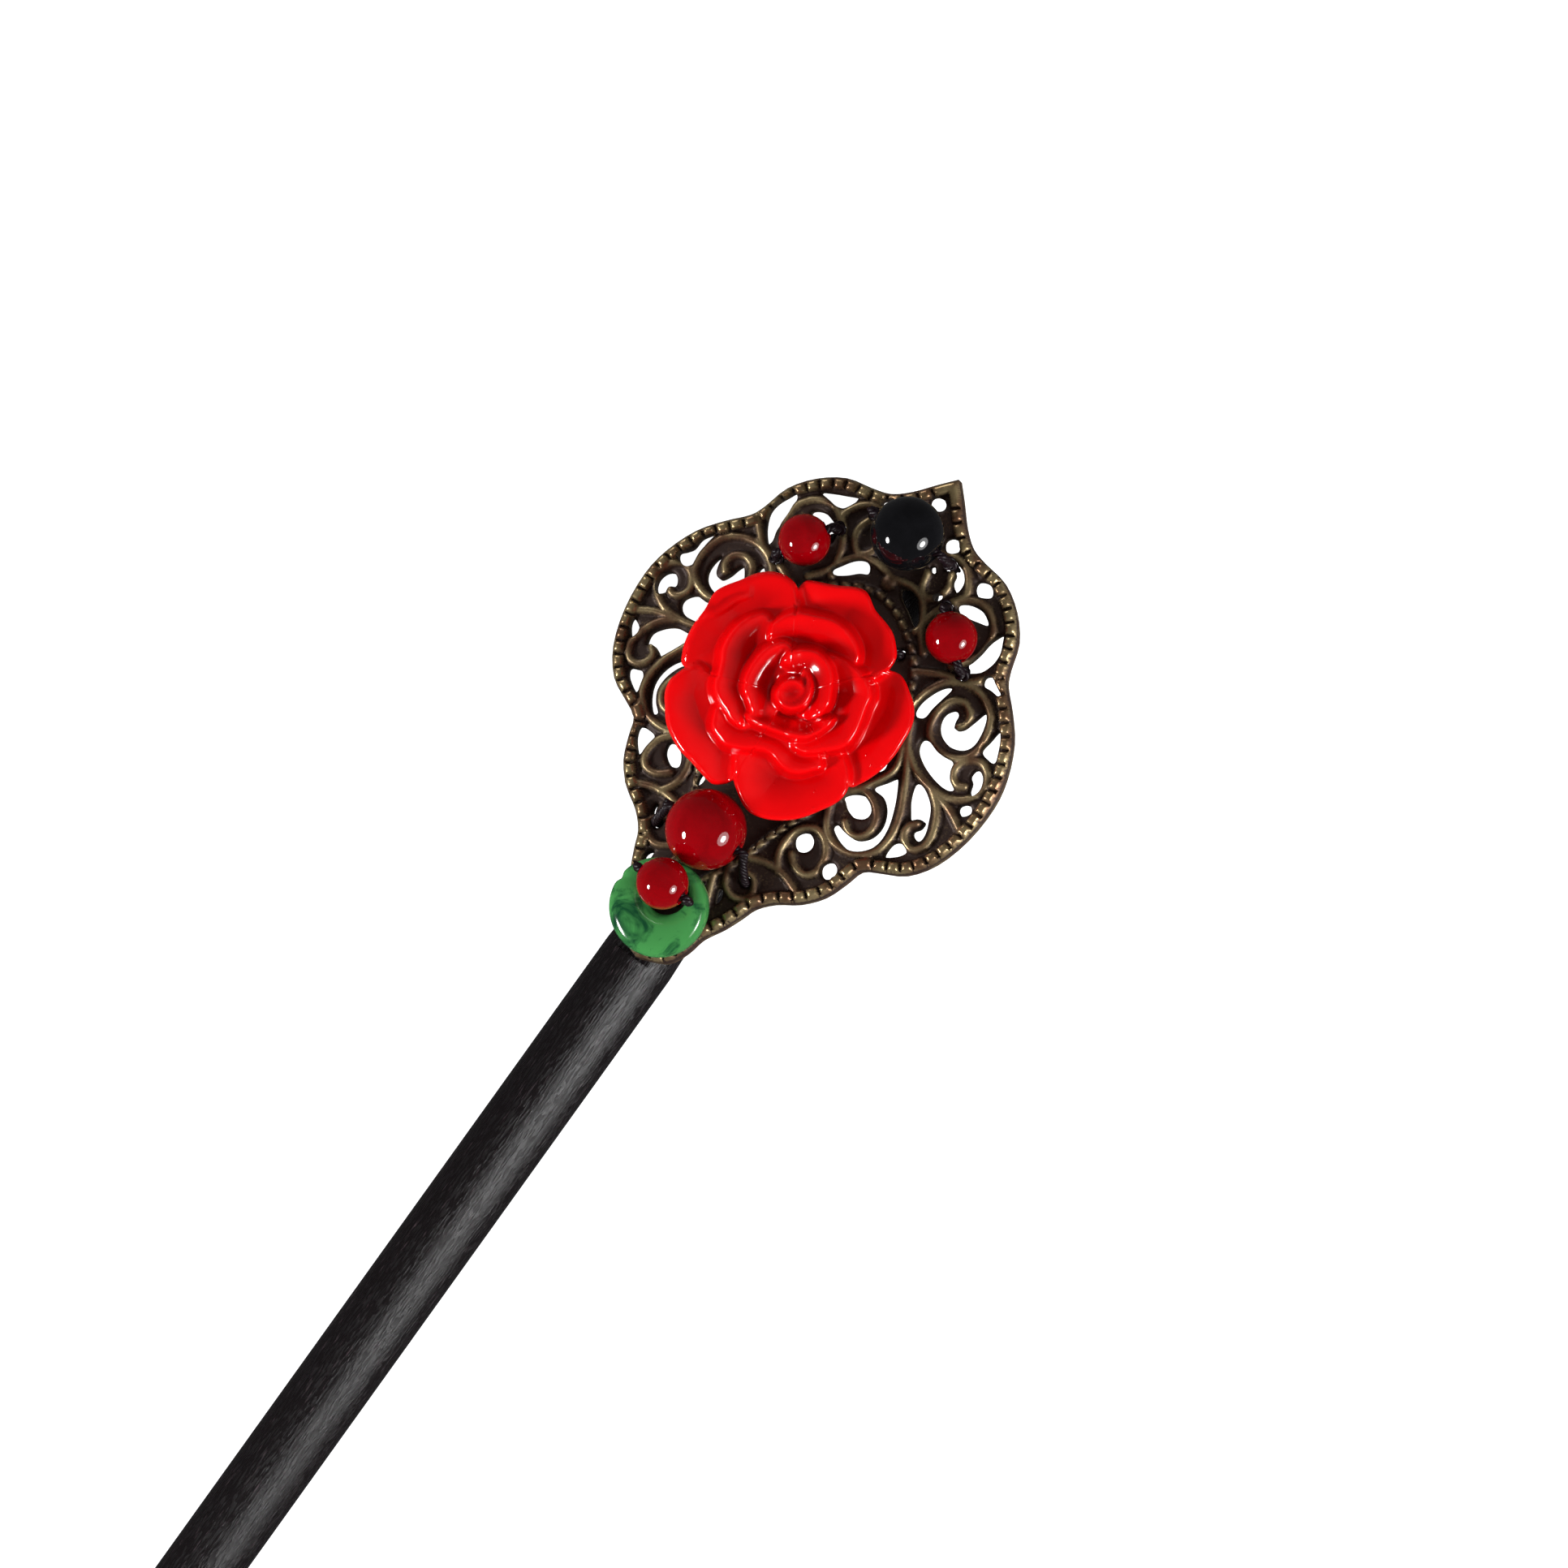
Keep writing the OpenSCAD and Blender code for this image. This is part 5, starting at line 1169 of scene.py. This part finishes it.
class HAIRSTICK_OT_beads(bpy.types.Operator):
    """Drilled beads of black stone and red agate"""
    bl_idname = "hairstick.beads"
    bl_label = "Beads"

    def execute(self, context):
        s = Sizes(context.scene)
        finish = context.scene.bead_settings
        pale = [c * 1.8 for c in finish.black_stone]
        dark = [c * 0.7 for c in finish.red]
        stones = {
            "black_stone": polished_stone("black_stone", finish.black_stone, pale, 2, 0.4, 0.7,
                                          0, rough=0.06),
            "red_agate": polished_stone("red_agate", finish.red, dark, 3.2, 0.4, 0.7, 0.6)}
        for k, (name, (size, place, z, turn)) in enumerate(s.beads.items()):
            slot = "black_stone" if name == "black_bead" else "red_agate"
            points, faces = bead_shape(s, size, k * 1.7)
            matrix = (s.on_plate @ Matrix.Translation((*place, z))
                      @ Matrix.Rotation(math.radians(turn), 4, "Z"))
            mesh = new_mesh(name + "_shape", to_frame(points, matrix), faces)
            add_piece("dressed_" + name, mesh, stones[slot], name, sharp=60)
        return {"FINISHED"}


class HAIRSTICK_OT_ring(bpy.types.Operator):
    """Green stone ring with its hole near one side"""
    bl_idname = "hairstick.ring"
    bl_label = "Ring"

    def execute(self, context):
        s = Sizes(context.scene)
        turn = full_turn(120)
        way = unit(turn)
        outer = way * s.ring / 2
        # a chip cut 0.25 mm into the left edge, and a slightly uneven outline
        chip = 0.25 * np.exp(-((turn - math.radians(176)) / 0.09) ** 2)
        outer *= (1 - chip / (s.ring / 2) - 0.006 * (1 + np.cos(3 * turn)))[:, None]
        base_bead = s.beads["base_bead"][1]
        hole = way * s.ring_hole / 2 + (base_bead[0] - s.ring_at[0], s.hole_shift)
        # its section is a rounded oblong: powers below 1 of the cosine and the sine fill it out
        t = full_turn(48)
        across = np.sign(np.cos(t)) * abs(np.cos(t)) ** 0.8
        up = np.sign(np.sin(t)) * abs(np.sin(t)) ** 0.62
        share = (0.5 + 0.5 * across)[:, None, None]
        flat = hole[None] + (outer - hole)[None] * share
        dome = 1 - 0.05 * across ** 2
        height = np.broadcast_to((s.ring_t / 2 * (1 + up * dome))[:, None], flat.shape[:2])
        points = np.concatenate([flat, height[..., None]], -1).reshape(-1, 3)
        points += (*s.ring_at, s.ring_z)
        faces = grid_faces(len(t), len(turn), wrap_rows=True, wrap_columns=True)
        finish = context.scene.bead_settings
        stone = polished_stone("green_stone", finish.green, finish.vein, 2.6, 0.52, 0.66, 0.8,
                               rough=0.12)
        mesh = new_mesh("ring_shape", to_frame(points, s.on_plate), faces)
        add_piece("dressed_green_ring", mesh, stone, "green_ring", sharp=70)
        return {"FINISHED"}


# Threads
def strand(s, size, z, to):
    """One strand in its own plane, from the bore's end at height z down to a point: it lies
    on a circle round its bead and leaves it on the straight line to the point."""
    r = size / 2 + s.thread / 2 + s.clear
    first = -math.asin(s.bend / r)
    far = np.hypot(to[0], to[1] - z)
    last = math.atan2(to[1] - z, to[0]) + math.acos(min(1, r / far))
    line = [(r - s.bend, z), (r - s.corner, z - s.corner)]
    # a strand that turns by less than 5 degrees round its bead has no bend there
    steps = 2 if last < first - math.radians(5) else 0
    for k in range(steps + 1):
        a = first + (last - first) * k / 2
        line.append((r * math.cos(a), z + r * math.sin(a)))
    return line + [tuple(to)]


def closed_path(s, c, z, size, turn):
    """A thread through a bead at c and height z, closed behind the plate."""
    x, under = size / 2 + s.strand_out, -s.lay - s.thread / 2
    half = strand(s, size, z, (x, s.scroll_top + s.clear)) + [
        (x, 0), (x - s.corner, under + s.corner), (x - s.bend, under)]
    line = np.array([(q[0], 0, q[1]) for q in half] + [(-q[0], 0, q[1]) for q in half[::-1]])
    a = math.radians(turn)
    spin = np.array([[math.cos(a), math.sin(a), 0], [-math.sin(a), math.cos(a), 0], [0, 0, 1]])
    return line @ spin + (c[0], c[1], 0)


def wrapped_path(s, c, z, size, to, via=()):
    """A thread through a bead at c, or over the web where size is 0, down through the plate
    and round the stick at the place to."""
    mid, over = s.stick_across(to[1]), s.scroll_top + s.clear
    sides = []
    for k in (1, -1):
        down = (to[0] + k * (mid - c[0]), over)
        ends = list(via) + [down]
        if size:
            front = strand(s, size, z, ends[0]) + ends[1:]
        else:
            front = [(down[0] - s.bend, z), (down[0] - s.corner, z - s.corner),
                     (down[0], z - s.bend)] + ends[1:]
        line = [(c[0] + k * q[0], c[1] + (to[1] - c[1]) * min(1, max(0, z - q[1])
                                                            / abs(z - over)), q[1])
                for q in front]
        r, drop = s.wrap(to[0])
        p = (to[0], s.back - s.lay + drop)
        first = math.atan2(p[1], p[0]) - math.acos(r / math.hypot(*p))
        line.append((mid + k * to[0], to[1], -s.lay))
        steps = 12
        for step in range(steps + 1):
            a = first + (-math.pi / 2 - first) * step / steps
            line.append((mid + k * r * math.cos(a), to[1], r * math.sin(a) - drop - s.back))
        sides.append(line)
    return np.array(sides[0] + sides[1][-2::-1])


def square_frame(line, hint):
    """Two directions at each point of a closed line: side is the hint made square to the
    line, and out is square to both."""
    ahead = np.roll(line, -2, 0) - np.roll(line, 2, 0)
    ahead /= np.linalg.norm(ahead, axis=1, keepdims=True)
    side = hint - ahead * (ahead * hint).sum(1, keepdims=True)
    side /= np.linalg.norm(side, axis=1, keepdims=True)
    return np.cross(ahead, side), side


def tube(line, hint, radius, corners):
    """A closed tube round a closed line: at each point a ring r (cos a out + sin a side),
    where side lies towards the hint. Also how far each point of it lies towards the hint,
    from 0 to 1."""
    out, side = square_frame(line, hint)
    turn = full_turn(corners)
    ring = (np.cos(turn)[None, :, None] * out[:, None]
            + np.sin(turn)[None, :, None] * side[:, None])
    points = line[:, None] + radius * ring
    # how far towards the hint, which the thread's colour uses to paint light on a ply's outer
    # side and shade in the valleys
    wear_and_shade = np.broadcast_to(0.5 + 0.5 * np.sin(turn), points.shape[:2])
    return points.reshape(-1, 3), grid_faces(len(line), corners, True, True), wear_and_shade.ravel()


def plied_cord(s, path):
    """The cord along a closed path, as four plies twisted round it: each ply's middle turns
    round the path at 0.5 + 0.08 sin(3a + k) of the cord's radius, where a is its turn."""
    # in mm: the cord's radius, the length of one turn, and the distance of its points
    radius, lay, spacing = 1.12 * s.thread / 2, 2.2 * s.thread, 0.08
    line = smooth_line(path, 8, True)
    ring = np.vstack([line, line[:1]])
    run = np.concatenate([[0], np.cumsum(np.linalg.norm(np.diff(ring, axis=0), axis=1))])
    way = np.linspace(0, run[-1], int(run[-1] / spacing) + 1)[:-1]
    line = np.stack([np.interp(way, run, ring[:, k]) for k in range(3)], 1)
    out, side = square_frame(line, np.array([0, 1.0, 0]))
    turns = round(run[-1] / lay)
    plies = []
    for k in range(4):
        a = way / run[-1] * turns * 2 * np.pi + k * np.pi / 2
        hint = np.cos(a)[:, None] * out + np.sin(a)[:, None] * side
        swing = 0.5 + 0.08 * np.sin(3 * a + k)
        plies.append(tube(line + radius * swing[:, None] * hint, hint, 0.5 * radius, 9))
    return plies


def knot(s, place):
    """A small knot round a strand that stands on the plate: the closed line
    ((R + r cos 3a) cos 2a, (R + r cos 3a) sin 2a, 1.3 r sin 3a) with a tube round it."""
    a = full_turn(90)[:, None]
    big, small = 0.42 * s.thread, 0.26 * s.thread
    way, up = np.hstack([np.cos(2 * a), np.sin(2 * a), 0 * a]), np.array([0, 0, 1])
    hint = np.cos(3 * a) * way + np.sin(3 * a) * up
    line = (big + small * np.cos(3 * a)) * way + 1.3 * small * np.sin(3 * a) * up + place
    return tube(line, hint, small, 9)


class HAIRSTICK_OT_threads(bpy.types.Operator):
    """Braided threads that hold the beads, the ring and the plate"""
    bl_idname = "hairstick.threads"
    bl_label = "Threads"

    def execute(self, context):
        s = Sizes(context.scene)
        material = braided_thread(context.scene.thread_settings)
        paths, knots = {}, {}
        # a knot stands on the plate at both ends of each of these three bores, and the base
        # bead's thread bends into the ring's hole on its way down
        knot_z, into_ring = s.scroll_top + 0.35, 0.5
        for name, bead in TIED.items():
            size, place, z, turn = s.beads[bead]
            paths[name] = closed_path(s, place, z, size, turn)
            knots[name] = [knot(s, (*end, knot_z)) for end in s.strand_ends(bead)]
        via = (s.ring_hole / 2 - s.thread / 2 - s.bend, s.ring_z + s.ring_t - into_ring)
        for name, bead, to, bends in (("large_bead_tie", "large_red_bead", s.large_pass, []),
                                      ("base_tie", "base_bead", s.base_pass, [via])):
            size, place, z, _ = s.beads[bead]
            paths[name] = wrapped_path(s, place, z, size, to, bends)
        mid = s.stick_across(s.lash_pass[1])
        paths["rose_lashing"] = wrapped_path(
            s, (mid, s.lash_pass[1]), s.web + s.thread / 2 + s.lay, 0, s.lash_pass)
        for name, path in paths.items():
            parts = plied_cord(s, path) + knots.get(name, [])
            offsets = np.cumsum([0] + [len(part[0]) for part in parts[:-1]])
            points = np.vstack([part[0] for part in parts])
            faces = np.vstack([part[1] + k for part, k in zip(parts, offsets)])
            mesh = new_mesh(name + "_shape", to_frame(points, s.on_plate), faces)
            set_attribute(mesh, "wear_and_shade", np.concatenate([part[2] for part in parts]))
            add_piece("dressed_" + name, mesh, material, name, sharp=180)
        return {"FINISHED"}


# Stage
# How far the camera is tilted from the plate's normal, and the plate's lean in its picture
TILT, LEAN = math.radians(13), math.radians(34.09)
# What it looks at in the plate's frame, in mm: across as it sees it, and along
AIM = (2.253, 18.64)
# Middle of the stick's bare part in the same frame, which the strip light is aimed at
BARE = (0, -45)
# Distances of the camera and the lights from their aims, and width of the camera's view
CAMERA_AWAY, LIGHT_AWAY, VIEW_WIDTH = 0.6, 0.5, 128.8 * MM


def seen_axes(s):
    """The plate's across and along directions as the camera sees them, and the camera's
    right, up and back: the plate's across axis and normal tilted, then turned in the
    picture so that the plate leans to the right."""
    spin = np.array(s.on_plate)[:3, :3]
    across = spin @ (math.cos(TILT), 0, -math.sin(TILT))
    along = spin @ (0, 1, 0)
    back = spin @ (math.sin(TILT), 0, math.cos(TILT))
    right = math.cos(LEAN) * across + math.sin(LEAN) * along
    up = -math.sin(LEAN) * across + math.cos(LEAN) * along
    return across, along, right, up, back


def vector_frame(back, up):
    """A turned frame whose Z axis is the given direction and whose Y axis is near up."""
    side = np.cross(up, back)
    side /= np.linalg.norm(side)
    return Matrix(np.stack([side, np.cross(back, side), back], 1).tolist()).to_4x4()


class HAIRSTICK_OT_stage(bpy.types.Operator):
    """Plain floor, soft lights and the camera"""
    bl_idname = "hairstick.stage"
    bl_label = "Stage"

    def execute(self, context):
        scene = context.scene
        s = Sizes(scene)
        across, along, right, up, back = seen_axes(s)
        target, bare = to_frame([[AIM[0] / math.cos(TILT), AIM[1], s.rim_top],
                                 [*BARE, s.back]], s.on_plate)
        camera = bpy.data.objects.new("camera", bpy.data.cameras.new("camera"))
        camera.data.sensor_width = 36
        camera.data.lens = camera.data.sensor_width * CAMERA_AWAY / VIEW_WIDTH
        camera.data.clip_start, camera.data.clip_end = 0.01, 10
        turned = Matrix(np.stack([right, up, back], 1).tolist()).to_4x4()
        camera.matrix_world = Matrix.Translation(target + back * CAMERA_AWAY) @ turned
        scene.collection.objects.link(camera)
        scene.camera = camera
        # Columns: name, direction across, along and back, width, height, power, whether it
        # shows as a highlight, and the only piece it lights. The fill is a large screen that
        # just softens, the cards stand low beside the plate and light its bevels, and the
        # strip lies along the stick
        lights = [("key_light", (-0.6, -0.69, 0.4), 0.09, 0.14, 2.8, True, None),
                  ("side_light", (0.85, 0.05, 0.52), 0.12, 0.15, 1.7, True, None),
                  ("side_screen", (0.85, 0.05, 0.52), 0.27, 0.33, 1.1, True, None),
                  ("fill_screen", (0.1, 0.35, 1), 0.5, 0.5, 1.0, False, None),
                  ("right_card", (0.97, 0.15, 0.16), 0.4, 0.3, 2.5, True, "dressed_plate"),
                  ("left_card", (-0.85, 0.5, 0.16), 0.4, 0.3, 1.2, True, "dressed_plate"),
                  ("glint_strip", (0.53, 0, 0.85), 0.014, 0.3, 2.0, True, "dressed_stick")]
        for name, share, wide, high, power, glossy, only in lights:
            way = np.array(share) @ np.stack([across, along, back])
            way /= np.linalg.norm(way)
            lamp = bpy.data.lights.new(name, "AREA")
            lamp.shape, lamp.size, lamp.size_y = "ELLIPSE", wide, high
            lamp.energy = power
            light = bpy.data.objects.new(name, lamp)
            middle = bare if name == "glint_strip" else target
            light.matrix_world = (Matrix.Translation(middle + way * LIGHT_AWAY)
                                  @ vector_frame(way, along))
            light.visible_glossy = glossy
            scene.collection.objects.link(light)
            if only:
                lit = bpy.data.collections.new(name + "_receivers")
                lit.objects.link(bpy.data.objects[only])
                light.light_linking.receiver_collection = lit
        world = bpy.data.worlds.new("studio")
        world.use_nodes = True
        sky = world.node_tree.nodes["Background"]
        sky.inputs["Color"].default_value = (1, 1, 1, 1)
        sky.inputs["Strength"].default_value = 0.07
        scene.world = world
        floor_mesh = bpy.data.meshes.new("floor_shape")
        half = 1.5  # metres
        floor_mesh.from_pydata([(-half, -half, 0), (half, -half, 0), (half, half, 0),
                                (-half, half, 0)], [], [(0, 1, 2, 3)])
        # a lit table of white acrylic, which leaves no shadow round the piece
        acrylic, tree, shader = new_material("lit_acrylic")
        set_inputs(tree, shader, {
            "Base Color": (0.5, 0.5, 0.5, 1), "Roughness": 0.9,
            "Emission Color": (1, 1, 1, 1), "Emission Strength": 1})
        floor_mesh.materials.append(acrylic)
        floor = bpy.data.objects.new("floor", floor_mesh)
        floor.visible_glossy = False
        scene.collection.objects.link(floor)
        scene.view_settings.view_transform = "Standard"
        return {"FINISHED"}


# Panel and main
OPERATORS = [HAIRSTICK_OT_stick, HAIRSTICK_OT_plate, HAIRSTICK_OT_rose, HAIRSTICK_OT_beads,
             HAIRSTICK_OT_ring, HAIRSTICK_OT_threads, HAIRSTICK_OT_stage]
SETTINGS = {"stick_settings": StickSettings, "plate_settings": PlateSettings,
            "rose_settings": RoseSettings, "bead_settings": BeadSettings,
            "thread_settings": ThreadSettings}


class HAIRSTICK_PT_panel(bpy.types.Panel):
    """Sizes, finishes and pieces of the hair stick"""
    bl_label = "Hair Stick"
    bl_idname = "HAIRSTICK_PT_panel"
    bl_space_type = "VIEW_3D"
    bl_region_type = "UI"
    bl_category = "Hair Stick"

    def draw(self, context):
        for key, group in SETTINGS.items():
            box = self.layout.box()
            box.label(text=key.replace("_", " ").capitalize())
            for name in group.__annotations__:
                box.prop(getattr(context.scene, key), name)
        for operator in OPERATORS:
            self.layout.operator(operator.bl_idname)


def register():
    for group in SETTINGS.values():
        bpy.utils.register_class(group)
    for item in OPERATORS + [HAIRSTICK_PT_panel]:
        bpy.utils.register_class(item)
    for key, group in SETTINGS.items():
        setattr(bpy.types.Scene, key, bpy.props.PointerProperty(type=group))


def unregister():
    for key in SETTINGS:
        delattr(bpy.types.Scene, key)
    for item in [HAIRSTICK_PT_panel] + OPERATORS[::-1] + list(SETTINGS.values())[::-1]:
        bpy.utils.unregister_class(item)


def main():
    """Registers the add-on's classes and makes every piece."""
    register()
    for operator in OPERATORS:
        group, name = operator.bl_idname.split(".")
        getattr(getattr(bpy.ops, group), name)()


if __name__ == "__main__":
    main()
